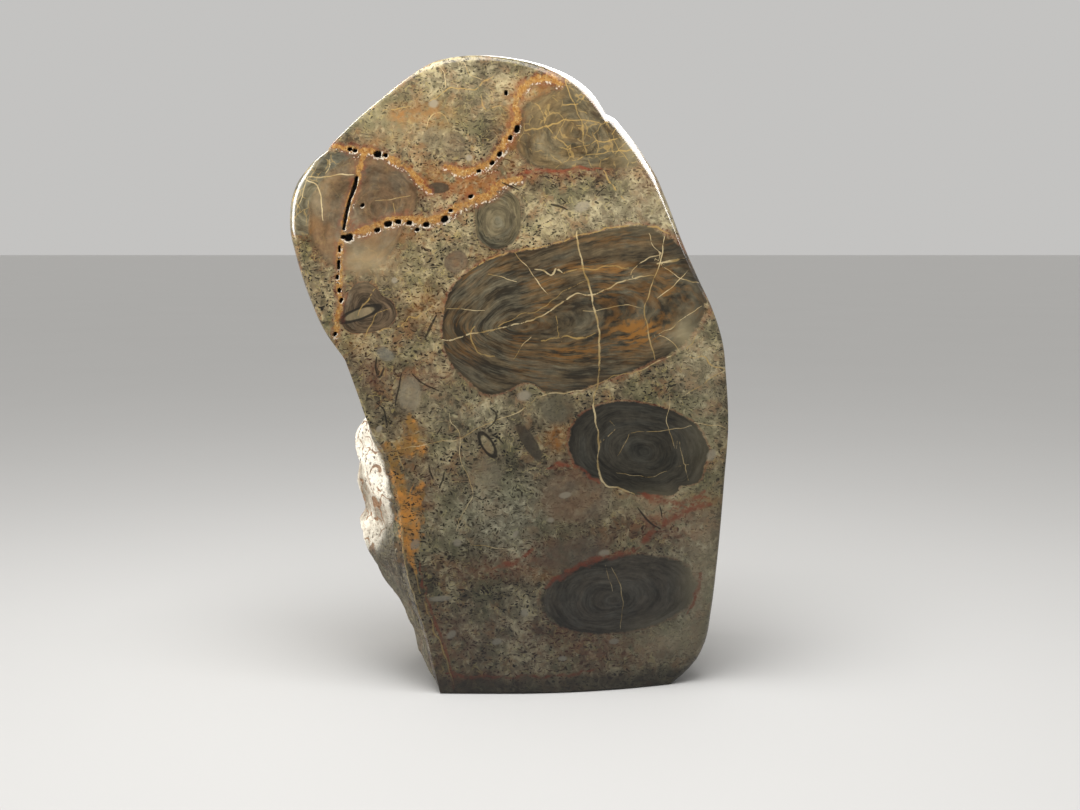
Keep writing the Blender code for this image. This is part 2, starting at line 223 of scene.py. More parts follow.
# Veins on the face. Each row is a half width and the points it runs through, across and up, in mm.
CREAM_VEINS = (
    (0.34, ((15.6, 108.8), (16.0, 105.5), (17.2, 100.1), (18.4, 96.3), (20.1, 88.7), (21.0, 84.3),
            (21.0, 79.5), (20.8, 73.6), (19.6, 68.7), (20.1, 64.7), (20.8, 60.7), (20.8, 53.3),
            (21.2, 51.0), (22.7, 49.1), (25.5, 48.6), (29.3, 47.0))),
    (0.22, ((36.3, 107.4), (35.9, 103.4), (35.2, 100.5), (34.0, 97.9), (32.6, 93.7), (31.4, 90.6),
            (31.9, 87.6), (33.0, 82.6), (34.2, 78.4))),
    (0.15, ((42.0, 99.4), (39.4, 96.5), (34.5, 92.7))),
    (0.15, ((34.9, 84.3), (38.0, 82.6), (40.1, 79.8))),
    (0.14, ((0.7, 103.8), (3.8, 100.5), (6.4, 97.0), (9.2, 93.5))),
    (0.13, ((0.7, 78.4), (2.8, 81.7), (5.4, 84.3))),
    (0.12, ((-5.4, 98.6), (-1.7, 97.7), (1.9, 96.5))),
    (0.14, ((-14.2, 66.1), (-13.5, 63.7), (-12.3, 62.5), (-11.3, 54.3), (-9.2, 50.7), (-8.7, 46.7),
            (-11.3, 42.5), (-12.7, 38.2))),
    (0.16, ((51.0, 62.3), (49.3, 63.0), (46.7, 63.2), (43.4, 63.7))),
    (0.16, ((50.5, 75.8), (47.2, 73.9), (43.4, 71.5), (41.1, 70.3))),
    (0.13, ((37.3, 71.3), (37.5, 68.4), (36.8, 64.9), (37.5, 61.6), (38.9, 57.3))),
    (0.12, ((39.9, 59.2), (40.6, 55.5), (42.0, 49.8))),
    (0.12, ((28.1, 61.6), (26.7, 58.5), (25.0, 55.9))),
    (0.12, ((21.5, 59.5), (24.8, 63.0), (23.4, 64.4))),
    (0.10, ((38.9, 53.3), (42.5, 53.8))),
    (0.13, ((23.8, 30.0), (26.0, 25.3), (26.7, 21.7), (26.0, 14.6))),
    (0.24, ((-48.1, 120.4), (-45.5, 119.2), (-44.4, 114.9), (-44.1, 110.9))),
    (0.22, ((-42.5, 125.8), (-42.7, 123.2), (-43.7, 121.8))),
    (0.14, ((-31.9, 115.6), (-27.6, 115.9), (-22.9, 117.1))),
    (0.14, ((-10.9, 148.2), (-9.2, 145.1), (-6.6, 144.2))),
    (0.14, ((-16.8, 147.5), (-15.3, 145.1), (-15.3, 141.6))),
    (0.18, ((-19.6, 132.2), (-19.1, 134.8), (-17.0, 136.2), (-15.3, 135.5), (-14.4, 133.3))),
    (0.16, ((-9.2, 35.4), (-2.4, 34.7), (1.4, 34.0))),
)
PALE_VEINS = (
    (0.26, ((-15.8, 83.1), (-13.0, 83.3), (-9.4, 84.5), (-4.5, 85.4), (1.4, 86.8), (6.4, 88.3),
            (9.2, 89.7), (12.3, 92.0), (15.3, 93.9), (19.1, 93.7), (22.7, 94.9), (25.7, 96.5),
            (30.0, 97.7), (34.0, 98.2))),
    (0.46, ((34.6, 101.0), (37.1, 101.5), (41.5, 102.2))),
    (0.15, ((32.6, 108.3), (34.5, 104.1), (35.9, 103.4))),
    (0.18, ((35.9, 103.4), (33.0, 102.4), (30.2, 100.8), (28.1, 97.9))),
    (0.16, ((36.1, 100.1), (39.4, 97.9), (42.0, 96.8), (44.8, 96.3))),
    (0.15, ((45.3, 91.1), (41.5, 88.7), (38.5, 86.1), (34.9, 84.3))),
    (0.20, ((43.7, 84.7), (43.0, 82.6), (40.6, 80.2))),
    (0.32, ((5.4, 99.6), (8.3, 99.1), (9.7, 98.2), (10.9, 99.6), (12.3, 98.6))),
    (0.14, ((16.8, 89.9), (20.8, 90.2), (24.5, 90.9), (28.1, 91.1), (31.2, 90.6))),
    (0.12, ((-15.3, 90.4), (-9.9, 90.2), (-5.7, 89.9))),
    (0.19, ((-26.2, 57.8), (-21.0, 58.5), (-16.5, 59.5), (-12.3, 59.9), (-6.6, 63.2), (-1.7, 65.1),
            (2.6, 66.8), (5.9, 69.4), (8.7, 70.6), (14.6, 71.0), (20.5, 72.7), (24.1, 74.6),
            (30.7, 76.0), (34.7, 78.1), (38.2, 79.5))),
    (0.12, ((28.1, 61.6), (33.0, 61.6), (37.3, 62.1), (43.0, 63.0))),
    (0.10, ((25.0, 52.4), (27.6, 51.7), (33.3, 51.2), (37.2, 52.7))),
    (0.12, ((22.4, 30.7), (24.3, 24.1))),
    (0.22, ((-48.9, 121.3), (-44.1, 121.1), (-39.9, 121.8), (-36.6, 122.0))),
    (0.14, ((-48.1, 120.6), (-48.9, 117.1), (-51.0, 112.6))),
    (0.30, ((-25.4, 40.5), (-25.0, 34.0), (-24.0, 28.3), (-22.8, 24.0), (-21.4, 19.8), (-20.0, 16.0))),
)
GOLD_VEINS = (
    (0.30, ((-22.6, 30.5), (-21.2, 25.0), (-19.6, 20.5), (-17.4, 14.5), (-15.0, 8.5), (-13.2, 2.0))),
    (0.24, ((-18.9, 138.8), (-16.8, 140.4), (-14.2, 142.1), (-10.9, 141.8), (-7.6, 142.1),
            (-5.9, 143.7), (-3.8, 144.7))),
    (0.18, ((-6.8, 140.4), (-5.9, 136.9), (-2.4, 138.1), (0.0, 136.9))),
    (0.20, ((-30.4, 136.4), (-26.2, 137.4), (-23.1, 137.6))),
    (0.22, ((-7.6, 86.8), (-9.2, 84.7), (-8.7, 82.1), (-6.6, 79.8), (-3.5, 79.1))),
    (0.26, ((12.3, 98.4), (15.8, 99.4), (20.1, 99.8), (24.1, 100.3), (28.1, 99.8))),
    (0.18, ((10.9, 89.0), (11.3, 85.7), (12.3, 81.7))),
    (0.28, ((7.1, 83.1), (12.7, 83.8), (17.2, 83.8), (20.3, 84.5))),
    (0.28, ((-31.2, 95.1), (-33.0, 92.7), (-34.5, 90.9), (-35.6, 88.5))),
    (0.20, ((-27.8, 90.2), (-31.2, 89.0), (-33.0, 86.1), (-33.7, 84.5), (-34.7, 82.8),
            (-37.8, 80.0))),
    (0.24, ((-31.2, 85.0), (-28.6, 85.9), (-25.7, 86.1), (-23.8, 88.3), (-21.7, 88.3),
            (-19.6, 89.9), (-17.9, 91.8))),
    (0.20, ((40.6, 79.8), (42.5, 79.1), (45.5, 79.1), (47.7, 76.9), (51.2, 76.2))),
    (0.20, ((-27.6, 114.9), (-27.1, 112.3))),
    (0.30, ((1.4, 132.4), (7.1, 132.6), (12.5, 134.3), (17.0, 134.5), (22.9, 133.8))),
    (0.20, ((13.2, 127.4), (18.9, 128.9), (23.6, 129.8), (27.1, 131.0), (30.7, 130.5))),
    (0.20, ((14.2, 125.1), (18.9, 126.3), (24.1, 127.2), (28.8, 127.7), (31.9, 128.9))),
    (0.18, ((9.9, 139.7), (13.2, 138.1), (15.3, 137.8), (17.5, 140.2))),
    (0.30, ((21.7, 122.7), (22.9, 121.3), (24.1, 118.9), (26.9, 115.6))),
    (0.26, ((-9.9, 99.1), (-6.1, 101.2), (-2.4, 102.9), (2.4, 104.0), (7.1, 104.5), (11.8, 106.0),
            (17.7, 107.7), (25.0, 109.6), (29.7, 110.0), (34.2, 109.3), (37.8, 107.4))),
)
CROSSING_VEINS = (
    (0.15, ((-6.0, 84.2), (1.9, 88.8), (7.3, 90.4), (9.9, 92.0), (13.3, 94.6), (18.4, 97.2))),
    (0.20, ((4.2, 139.5), (7.1, 136.9), (8.3, 133.8), (11.8, 129.6), (14.9, 127.4))),
    (0.20, ((12.5, 144.4), (14.4, 140.2), (16.5, 135.5), (17.2, 131.5), (17.5, 127.4))),
    (0.16, ((8.5, 138.8), (8.3, 133.1))),
    (0.16, ((23.4, 131.0), (25.3, 132.6), (26.4, 133.8))),
    (0.16, ((19.5, 131.8), (20.6, 128.5), (20.2, 125.4))),
    (0.16, ((24.0, 131.5), (25.4, 128.0), (28.0, 125.0))),
    (0.30, ((-27.1, 59.5), (-24.8, 52.4))),
)
RUST_VEINS = (
    (1.2, ((11.6, 143.2), (9.0, 144.6), (5.7, 144.0))),
    (0.9, ((5.7, 144.0), (2.6, 141.6), (1.2, 137.8))),
    (0.9, ((1.2, 137.8), (1.9, 135.0), (0.7, 132.4), (-1.2, 129.3), (-3.1, 126.3), (-5.2, 124.1),
           (-7.8, 123.0), (-11.6, 122.2), (-14.9, 123.7))),
    (1.0, ((2.4, 120.6), (-1.7, 119.9), (-4.7, 117.1), (-9.0, 115.4), (-12.3, 114.0),
           (-15.1, 112.1), (-18.9, 110.7), (-24.3, 111.2), (-29.0, 110.4), (-33.0, 109.0),
           (-38.7, 107.4))),
    (0.75, ((-42.0, 128.4), (-37.3, 127.7), (-33.0, 127.2), (-29.0, 126.0), (-25.7, 124.1),
            (-23.4, 122.5), (-21.0, 119.9), (-18.9, 117.8))),
    (0.75, ((-34.2, 126.7), (-35.4, 123.2), (-36.3, 119.4), (-38.0, 114.9), (-38.9, 110.4),
            (-39.6, 106.7), (-40.1, 101.5), (-40.1, 96.1), (-39.6, 92.0), (-40.4, 88.3),
            (-40.8, 84.0))),
)
RED_LINES = (
    (0.28, ((2.4, 121.8), (7.1, 122.7), (11.8, 122.5), (16.5, 123.2), (21.9, 123.0))),
    (0.50, ((8.3, 25.3), (11.8, 27.8), (18.9, 31.2), (27.1, 33.0), (30.7, 34.7), (34.2, 38.2))),
    (0.40, ((45.5, 27.6), (44.8, 24.1), (43.7, 20.5), (42.5, 17.5))),
    (0.60, ((30.7, 47.2), (34.2, 45.5), (38.2, 45.1), (42.5, 45.5), (46.0, 47.2))),
    (0.25, ((-15.6, 5.0), (-7.1, 4.0), (2.4, 4.2), (11.8, 4.2), (21.2, 5.7))),
    (0.40, ((9.2, 53.1), (11.6, 54.0), (15.6, 53.6), (18.4, 51.9), (21.2, 49.6))),
    (0.25, ((-21.2, 31.2), (-20.5, 26.4), (-18.9, 21.7), (-17.2, 15.8), (-15.1, 9.9), (-13.0, 0.5))),
    (0.50, ((31.5, 36.5), (36.0, 39.6), (41.0, 42.6), (47.5, 44.6))),
    (0.40, ((-4.0, 29.5), (1.5, 31.5), (5.5, 34.5))),
)
# Dark cuts through thin shells
BLACK_LINES = (
    (0.34, ((-17.2, 89.0), (-18.4, 86.4), (-19.8, 83.5))),
    (0.30, ((-31.2, 79.3), (-31.4, 76.5), (-30.7, 74.3), (-29.3, 76.9))),
    (0.22, ((-25.3, 75.3), (-26.2, 71.3), (-26.9, 67.7))),
    (0.20, ((-31.4, 68.7), (-29.7, 67.0), (-28.6, 63.0))),
    (0.26, ((-1.9, 119.9), (0.2, 118.9), (2.4, 118.0))),
    (0.34, ((9.7, 114.7), (11.6, 114.2), (13.5, 113.5))),
    (0.20, ((11.8, 116.3), (13.5, 114.9))),
    (0.16, ((20.3, 116.8), (22.4, 118.9))),
    (0.22, ((-15.8, 63.2), (-17.0, 61.1))),
    (0.28, ((-18.9, 54.3), (-18.6, 52.4), (-17.9, 50.7))),
    (0.28, ((-15.3, 52.6), (-15.6, 50.7), (-16.5, 48.6))),
    (0.22, ((-21.7, 54.3), (-22.4, 52.6))),
    (0.24, ((-4.5, 67.3), (-3.1, 66.1), (-3.3, 64.4), (-5.4, 62.5))),
    (0.22, ((-4.2, 61.1), (-2.8, 60.4), (-1.4, 59.0))),
    (0.20, ((0.2, 61.8), (-0.2, 60.2))),
    (0.22, ((-22.9, 75.3), (-19.8, 72.7), (-16.5, 71.3))),
    (0.24, ((35.2, 44.4), (35.6, 43.0), (35.9, 41.3))),
    (0.22, ((30.0, 44.1), (32.6, 40.6), (35.4, 38.7))),
    (0.20, ((29.3, 73.2), (30.9, 73.9))),
    (0.20, ((36.6, 71.0), (37.5, 72.7))),
    (0.22, ((-25.5, 21.7), (-23.6, 21.5), (-21.7, 20.5))),
)
# The open cleft and the vugs, the small open holes along the veins
OPENINGS = (
    (0.42, ((-36.1, 121.0), (-36.6, 118.9), (-37.4, 116.6))),
    (0.36, ((-37.6, 116.2), (-38.6, 112.1), (-39.1, 109.0))),
    (0.30, ((-40.1, 104.8), (-40.1, 103.8))),
    (0.34, ((-40.3, 101.4), (-40.3, 99.8))),
    (0.90, ((-38.1, 106.9), (-37.8, 107.0))),
    (0.50, ((-39.3, 107.1), (-39.1, 107.1))),
    (0.85, ((-31.3, 126.5), (-31.0, 126.5))),
    (0.50, ((-29.4, 126.3), (-29.2, 126.2))),
    (0.42, ((-37.9, 127.7), (-37.6, 127.7))),
    (0.42, ((-36.7, 127.4), (-36.4, 127.4))),
    (0.50, ((-31.4, 108.7), (-31.0, 108.8))),
    (0.72, ((-28.9, 110.1), (-28.4, 110.2))),
    (0.60, ((-26.4, 110.7), (-26.0, 110.7))),
    (0.55, ((-23.8, 110.4), (-23.4, 110.4))),
    (0.45, ((-21.8, 108.8), (-21.6, 108.8))),
    (0.60, ((-19.8, 110.0), (-19.4, 110.0))),
    (0.80, ((-15.5, 111.1), (-15.1, 111.4))),
    (0.42, ((-14.0, 113.3), (-13.8, 113.3))),
    (0.42, ((-9.3, 116.5), (-9.0, 116.7))),
    (0.60, ((1.6, 132.0), (1.8, 132.8))),
    (0.45, ((0.0, 130.1), (0.2, 130.5))),
    (0.50, ((-2.5, 126.3), (-2.3, 126.7))),
    (0.45, ((-4.3, 124.3), (-4.0, 124.5))),
    (0.38, ((-0.9, 140.7), (-0.9, 141.1))),
    (0.40, ((-34.8, 114.4), (-34.6, 114.6))),
    (0.40, ((-40.6, 97.5), (-40.6, 97.9))),
    (0.40, ((-40.1, 94.4), (-40.1, 94.8))),
    (0.40, ((-39.7, 92.1), (-39.6, 92.5))),
    (0.40, ((-7.4, 122.5), (-7.1, 122.6))),
    (0.40, ((-41.2, 84.2), (-41.0, 84.6))),
)

# Outlines of the large clasts on the face, across and up, in mm
LARGE_ONCOID = (
    (-15.8, 87.8), (-15.1, 80.7), (-12.7, 76.5), (-9.4, 73.6), (-6.6, 71.0), (-3.1, 70.6),
    (0.0, 71.7), (2.4, 72.9), (5.2, 73.2), (7.8, 71.3), (10.1, 70.8), (15.3, 71.3), (20.5, 73.2),
    (26.0, 75.0), (33.0, 77.9), (37.3, 79.8), (41.3, 82.8), (44.4, 86.6), (46.3, 90.6),
    (45.5, 95.3), (43.4, 100.1), (41.1, 103.8), (37.8, 107.1), (34.2, 109.0), (29.7, 109.7),
    (25.0, 109.3), (17.7, 107.4), (11.8, 105.7), (7.1, 104.3), (2.4, 103.8), (-2.4, 102.7),
    (-6.1, 101.2), (-9.9, 99.1), (-13.7, 94.9),
)
BLACK_ONCOID = (
    (13.7, 59.5), (14.6, 63.0), (17.7, 66.3), (21.2, 68.0), (27.1, 68.7), (33.0, 68.0),
    (38.9, 66.1), (44.1, 62.8), (45.8, 59.9), (47.0, 57.1), (46.0, 53.8), (44.4, 49.8),
    (42.0, 48.9), (40.1, 48.9), (39.2, 47.2), (33.0, 47.0), (28.3, 47.2), (26.4, 48.4),
    (23.6, 48.4), (21.2, 50.5), (18.4, 51.0), (15.3, 54.3),
)
HEART_CLAST = (
    (-39.4, 88.3), (-38.7, 92.0), (-38.2, 93.7), (-36.8, 95.6), (-34.5, 96.5), (-32.3, 96.1),
    (-31.2, 94.9), (-30.0, 93.2), (-28.1, 92.5), (-26.9, 90.6), (-26.7, 88.5), (-28.1, 86.6),
    (-31.2, 85.2), (-34.5, 84.7), (-37.8, 85.0), (-39.4, 86.4),
)
VEINED_CLAST = (
    (3.8, 138.8), (7.1, 140.2), (10.6, 141.6), (13.2, 143.5), (16.5, 141.6), (20.8, 136.9),
    (24.1, 133.8), (27.8, 129.8), (29.3, 127.4), (30.7, 124.1), (24.8, 123.2), (18.9, 123.4),
    (13.2, 122.7), (8.3, 123.2), (4.2, 124.4), (1.9, 127.9), (1.4, 131.5), (2.1, 135.5),
)
PINK_ONCOID = (
    (-47.6, 110.0), (-47.0, 116.0), (-44.0, 121.0), (-39.5, 124.8), (-34.0, 126.2), (-29.0, 125.2),
    (-24.5, 122.5), (-21.6, 118.0), (-22.2, 113.5), (-25.0, 109.0), (-27.2, 104.5), (-30.0, 101.0),
    (-34.0, 99.0), (-38.5, 98.8), (-43.0, 101.0), (-46.2, 105.0),
)
GREY_LOBE = (
    (-54.0, 109.0), (-54.0, 114.0), (-51.8, 120.2), (-47.0, 125.6), (-41.0, 127.0), (-35.0, 126.6),
    (-36.0, 119.0), (-38.0, 113.3), (-41.0, 108.6), (-45.5, 107.4), (-50.0, 107.4),
)
PALE_ONCOID = (
    (-8.3, 111.9), (-7.6, 115.6), (-4.7, 117.8), (-1.2, 118.2), (1.9, 116.1), (2.6, 111.9),
    (2.1, 107.6), (-0.5, 104.8), (-4.2, 104.5), (-7.3, 106.7),
)


def oval(x, z, half_length, half_height, tilt=0.0):
    """Points of an ellipse: the centre plus its two half axes, turned, times the cosine and the sine."""
    turn = np.linspace(0, 2 * math.pi, 12, endpoint=False)
    along, across = half_length * np.cos(turn), half_height * np.sin(turn)
    c, s = math.cos(math.radians(tilt)), math.sin(math.radians(tilt))
    return np.stack([x + along * c - across * s, z + along * s + across * c], axis=1)


# The layers of the largest oncoid close round its left end and run out to the right
LONG_LAYERS = oval(50.0, 93.0, 68.0, 19.0, 6.0)

# The clasts. Each row is an outline, the middle of its layers, how deep it reaches, its colour (red,
# green, blue of 255), how many layers it has, how strongly they show, how much of it is streaked with
# rust and cut by fine veins, how soft its edge is, and how much of the ground it hides.
CLASTS = (
    (LARGE_ONCOID, (0.5, 86.0), 17.0, (80, 70, 52), 18.0, 1.6, 1.0, 0.0, 0.012, 1.0),
    (BLACK_ONCOID, (31.6, 57.0), 12.0, (61, 58, 50), 15.0, 0.95, 0.05, 0.0, 0.015, 1.0),
    (oval(26.0, 23.3, 19.0, 9.3, 5.0), (24.5, 22.0), 12.0, (68, 63, 55), 12.0, 1.2, 0.05, 0.0,
     0.05, 0.95),
    (HEART_CLAST, (-33.3, 89.6), 6.0, (88, 74, 58), 6.0, 1.7, 0.15, 0.0, 0.03, 0.95),
    (VEINED_CLAST, (15.0, 132.0), 14.0, (96, 82, 57), 5.0, 1.3, 0.35, 0.5, 0.06, 0.9),
    (PINK_ONCOID, (-31.4, 113.6), 11.0, (113, 90, 66), 4.0, 0.7, 0.35, 0.1, 0.07, 0.9),
    (GREY_LOBE, (-46.0, 115.5), 14.0, (100, 95, 78), 6.0, 1.1, 0.1, 0.4, 0.06, 1.0),
    (oval(-2.8, 110.8, 4.2, 4.5), (-2.8, 110.8), 5.0, (98, 90, 70), 4.0, 1.1, 0.0, 0.0,
     0.12, 1.0),
    (PALE_ONCOID, (-2.6, 112.9), 7.0, (82, 75, 56), 8.0, 1.8, 0.0, 0.0, 0.05, 0.95),
    (oval(-18.0, 130.2, 2.5, 2.7), (-18.0, 130.2), 2.5, (92, 80, 60), 3.0, 0.8, 0.2, 0.0,
     0.12, 0.6),
    (oval(-13.3, 128.8, 2.9, 3.1), (-13.3, 128.8), 2.5, (98, 80, 60), 3.0, 0.8, 0.4, 0.0,
     0.12, 0.6),
    (oval(-12.6, 101.3, 2.9, 2.5, 30.0), (-12.6, 101.3), 2.5, (112, 88, 68), 2.0, 0.4, 0.3, 0.0,
     0.1, 0.85),
    (oval(-16.8, 118.6, 2.8, 1.3, 0.0), (-16.8, 118.6), 1.6, (66, 58, 46), 2.0, 0.3, 0.0, 0.0,
     0.12, 0.9),
    (oval(4.6, 59.4, 5.4, 1.5, -58.0), (4.6, 59.4), 2.0, (68, 57, 45), 2.0, 0.2, 0.0, 0.0,
     0.12, 0.9),
    (oval(11.2, 67.2, 4.6, 3.9, 10.0), (11.2, 67.2), 4.0, (88, 80, 64), 2.0, 0.3, 0.0, 0.0,
     0.35, 0.75),
    (oval(15.0, 33.0, 9.0, 4.0, 12.0), (15.0, 33.0), 5.0, (92, 82, 70), 2.0, 0.3, 0.0, 0.0,
     0.4, 0.7),
    (oval(15.8, 46.6, 9.0, 6.6, 8.0), (15.8, 46.6), 5.0, (116, 90, 72), 2.0, 0.3, 0.1, 0.0,
     0.35, 0.7),
    (oval(-23.4, 70.6, 3.1, 4.3, 0.0), (-23.4, 70.6), 3.0, (136, 121, 98), 2.0, 0.3, 0.1, 0.0,
     0.35, 0.7),
    (oval(-29.2, 79.8, 2.4, 1.5, -30.0), (-29.2, 79.8), 1.5, (120, 116, 104), 2.0, 0.2, 0.0, 0.0,
     0.3, 0.8),
    (oval(-5.4, 52.0, 3.6, 4.6, 10.0), (-5.4, 52.0), 3.0, (128, 112, 88), 2.0, 0.2, 0.0, 0.0,
     0.45, 0.6),
)

# Oncoids inside the stone that the sides and the back cut or bare. Each row is a centre and three
# half sizes in mm, the tilt of its length in degrees, its colour and how many layers it has.
BURIED_ONCOIDS = (
    ((49.0, 0.0, 36.0), (9.0, 9.0, 7.0), 12.0, (66, 61, 54), 7.0),
    ((46.0, 2.0, 92.0), (9.0, 10.0, 8.0), -10.0, (92, 80, 62), 7.0),
    ((-4.0, 4.0, 148.0), (13.0, 9.0, 7.0), 6.0, (84, 74, 60), 8.0),
    ((-49.0, -2.0, 106.0), (7.0, 10.0, 8.0), 0.0, (74, 68, 58), 6.0),
    ((-30.0, 6.0, 136.0), (8.0, 7.0, 6.0), 35.0, (104, 90, 70), 5.0),
    ((30.0, 8.0, 126.0), (10.0, 7.0, 8.0), -30.0, (70, 64, 55), 6.0),
    ((-24.0, 16.0, 108.0), (15.0, 9.0, 10.0), 12.0, (86, 76, 62), 8.0),
    ((18.0, 17.0, 84.0), (19.0, 10.0, 12.0), -8.0, (72, 66, 57), 9.0),
    ((-8.0, 22.0, 56.0), (12.0, 8.0, 9.0), 20.0, (98, 86, 68), 7.0),
    ((28.0, 20.0, 38.0), (14.0, 9.0, 9.0), 10.0, (76, 70, 60), 8.0),
    ((2.0, 14.0, 124.0), (10.0, 8.0, 7.0), -15.0, (110, 96, 74), 6.0),
    ((-33.0, 12.0, 62.0), (7.0, 9.0, 8.0), 0.0, (80, 72, 60), 6.0),
    ((2.0, 24.0, 20.0), (11.0, 7.0, 7.0), -12.0, (84, 76, 64), 6.0),
)

# What a point holds before any clast reaches it, and what all the buried oncoids share: their traits
# and edges, and the size and cell of the noise that makes them uneven
NO_CLAST = 9.0
NO_CLAST_COLOUR = (90, 80, 65)
BURIED_TRAITS = (0.6, 0.25, 0.0)
BURIED_EDGES = (0.03, 1.0)
BURIED_WANDER = 0.07
BURIED_CELL = 9.0

# Small pale and rimmed bits on the face: centre, two half sizes and tilt, in mm and degrees
PALE_BITS = (
    (17.0, 114.2, 1.8, 1.1, 20), (13.0, 47.0, 1.4, 0.7, 10), (22.2, 33.3, 1.2, 0.7, 10),
    (3.5, 19.4, 0.9, 0.9, 0), (-12.3, 35.9, 1.0, 0.8, 20), (-16.3, 22.7, 2.5, 0.65, 4),
    (-13.7, 14.2, 1.2, 0.8, 40), (-22.2, 35.4, 1.3, 1.0, 60), (-18.0, 138.4, 1.1, 1.0, 0),
    (3.4, 70.2, 1.6, 1.2, 10), (47.5, 56.0, 1.4, 1.0, 60), (24.6, 12.0, 1.1, 0.7, 0),
    (-9.5, 125.6, 0.8, 0.7, 0), (1.4, 38.0, 0.9, 0.5, 60),
    (-27.0, 97.0, 0.7, 0.7, 0), (9.6, 41.2, 0.8, 0.6, 0), (38.6, 112.0, 0.8, 0.6, 0),
    (-30.6, 62.4, 0.9, 0.6, 50), (-3.0, 12.6, 1.2, 0.7, 15), (12.4, 8.4, 1.0, 0.6, 0),
)
RIMMED_BITS = (
    (-35.2, 89.2, 4.7, 1.25, 20), (-5.2, 58.8, 3.1, 1.25, -58),
)

# The painted shade inside the openings, the roughness where nothing is polished, and the way across and up
# to
# the side of an opening that has a crust: the lower right, which the light falls on, so the crust is partly
# painted glint
OPENING_SHADE = (0.004, 0.0035, 0.003)
ROUGH_GLOSS = 0.85
CRUST_SIDE = (0.6, -0.8, 0.0)

# Where the pale rind of the broken left side, partly painted light, gives way to painted shade on its lower
# part
FLANK_LINE = ((-36.5, 30.5), (-26.0, 43.0))
FLANK_RAMP = 3.0
FLANK_END = 20.0
FLANK_FADE = 12.0
FLANK_CELL = 5.0

# Soft patches on the face: centre, two half sizes and strength
ORANGE_PATCHES = (
    (-19.0, 135.7, 6.0, 3.5, 0.7), (-13.9, 120.6, 12.0, 3.5, 0.6), (-48.4, 109.3, 4.0, 2.5, 0.9),
    (-30.0, 108.0, 9.0, 2.4, 0.5), (-20.0, 91.0, 5.0, 5.0, 0.4), (11.0, 60.2, 2.2, 3.0, 1.0),
    (-36.0, 83.0, 3.0, 3.0, 0.4), (46.5, 45.0, 5.0, 2.0, 0.5), (8.3, 28.8, 4.0, 3.0, 0.4),
    (1.0, 133.0, 3.5, 8.0, 0.6), (6.0, 141.0, 7.0, 3.5, 0.6), (-4.0, 101.0, 5.0, 3.0, 0.3),
    (-30.0, 130.0, 6.0, 2.0, 0.3), (-23.0, 60.0, 3.0, 5.0, 0.5), (-8.0, 117.0, 6.0, 3.0, 0.5),
    (29.0, 85.2, 7.0, 3.4, 1.0), (15.0, 80.2, 7.5, 2.2, 0.8), (21.0, 100.0, 10.0, 1.3, 0.8),
    (8.0, 96.5, 4.0, 1.5, 0.5), (36.5, 91.0, 2.5, 5.0, 0.5), (-9.0, 82.0, 2.0, 5.0, 0.4),
    (24.0, 106.5, 12.0, 1.6, 0.4), (-33.0, 102.8, 7.0, 4.0, 0.55), (-26.0, 135.5, 2.6, 2.2, 0.8),
)
RED_PATCHES = (
    (-34.0, 104.0, 9.0, 4.0, 0.35), (15.3, 53.5, 6.0, 1.6, 0.5), (32.3, 47.0, 4.0, 1.3, 1.0),
    (34.5, 41.0, 6.0, 3.5, 0.7), (-6.8, 28.8, 9.0, 2.5, 0.45), (28.0, 9.0, 18.0, 4.0, 0.5),
    (22.5, 138.0, 6.0, 6.0, 0.4), (33.4, 120.6, 5.0, 8.0, 0.3), (-32.0, 75.3, 4.0, 4.0, 0.35),
    (-20.0, 74.0, 6.0, 3.5, 0.4), (12.0, 122.3, 10.0, 1.6, 0.6), (44.5, 20.0, 2.0, 9.0, 0.5),
    (-15.0, 118.0, 8.0, 2.5, 0.5), (9.0, 33.0, 6.0, 3.0, 0.3), (-19.0, 48.0, 3.0, 6.0, 0.3),
    (20.0, 35.0, 12.0, 4.0, 0.4), (0.0, 4.0, 22.0, 2.0, 0.3), (-17.0, 12.0, 9.0, 8.0, 0.4),
    (43.0, 38.0, 6.0, 5.0, 0.5), (4.0, 31.0, 12.0, 2.5, 0.4), (12.0, 14.0, 16.0, 5.0, 0.3),
)
# The first row, along the foot, is painted shade
DARK_AND_SHADE_PATCHES = (
    (10.0, 1.0, 40.0, 3.2, 1.0),
    (-22.0, 28.0, 3.0, 14.0, 0.35), (40.0, 33.0, 8.0, 7.0, 0.2), (4.6, 131.0, 3.0, 7.0, 0.45),
    (30.0, 104.5, 13.0, 2.6, 0.5), (-10.0, 77.0, 4.0, 5.0, 0.4), (14.0, 73.6, 14.0, 1.8, 0.5),
    (12.0, 102.0, 9.0, 2.0, 0.35), (-21.0, 46.0, 2.2, 3.0, 0.6), (-30.0, 119.0, 7.0, 5.0, 0.3),
)
LIGHT_PATCHES = (
    (44.5, 77.3, 5.0, 8.0, 0.6), (3.2, 67.0, 6.0, 3.0, 0.35), (-8.0, 140.0, 18.0, 8.0, 0.4),
    (30.0, 114.0, 9.0, 5.0, 0.5), (46.0, 28.0, 5.0, 16.0, 1.3), (0.0, 40.0, 16.0, 10.0, 0.25),
    (34.0, 44.5, 9.0, 3.0, 1.0), (38.0, 11.0, 9.0, 5.0, 1.3), (-33.0, 101.0, 7.0, 4.0, 0.8),
    (-28.0, 133.0, 8.0, 5.0, 0.5), (37.0, 115.0, 5.0, 7.0, 0.4), (12.0, 113.0, 12.0, 5.0, 0.4),
    (-16.0, 68.0, 8.0, 6.0, 0.3), (40.8, 84.6, 2.6, 3.6, 1.1), (-34.0, 102.5, 8.0, 3.6, 0.3),
    (28.5, 127.0, 3.0, 6.0, 0.8), (-46.0, 117.0, 3.0, 5.0, 0.5), (46.0, 62.0, 4.0, 10.0, 0.3),
)
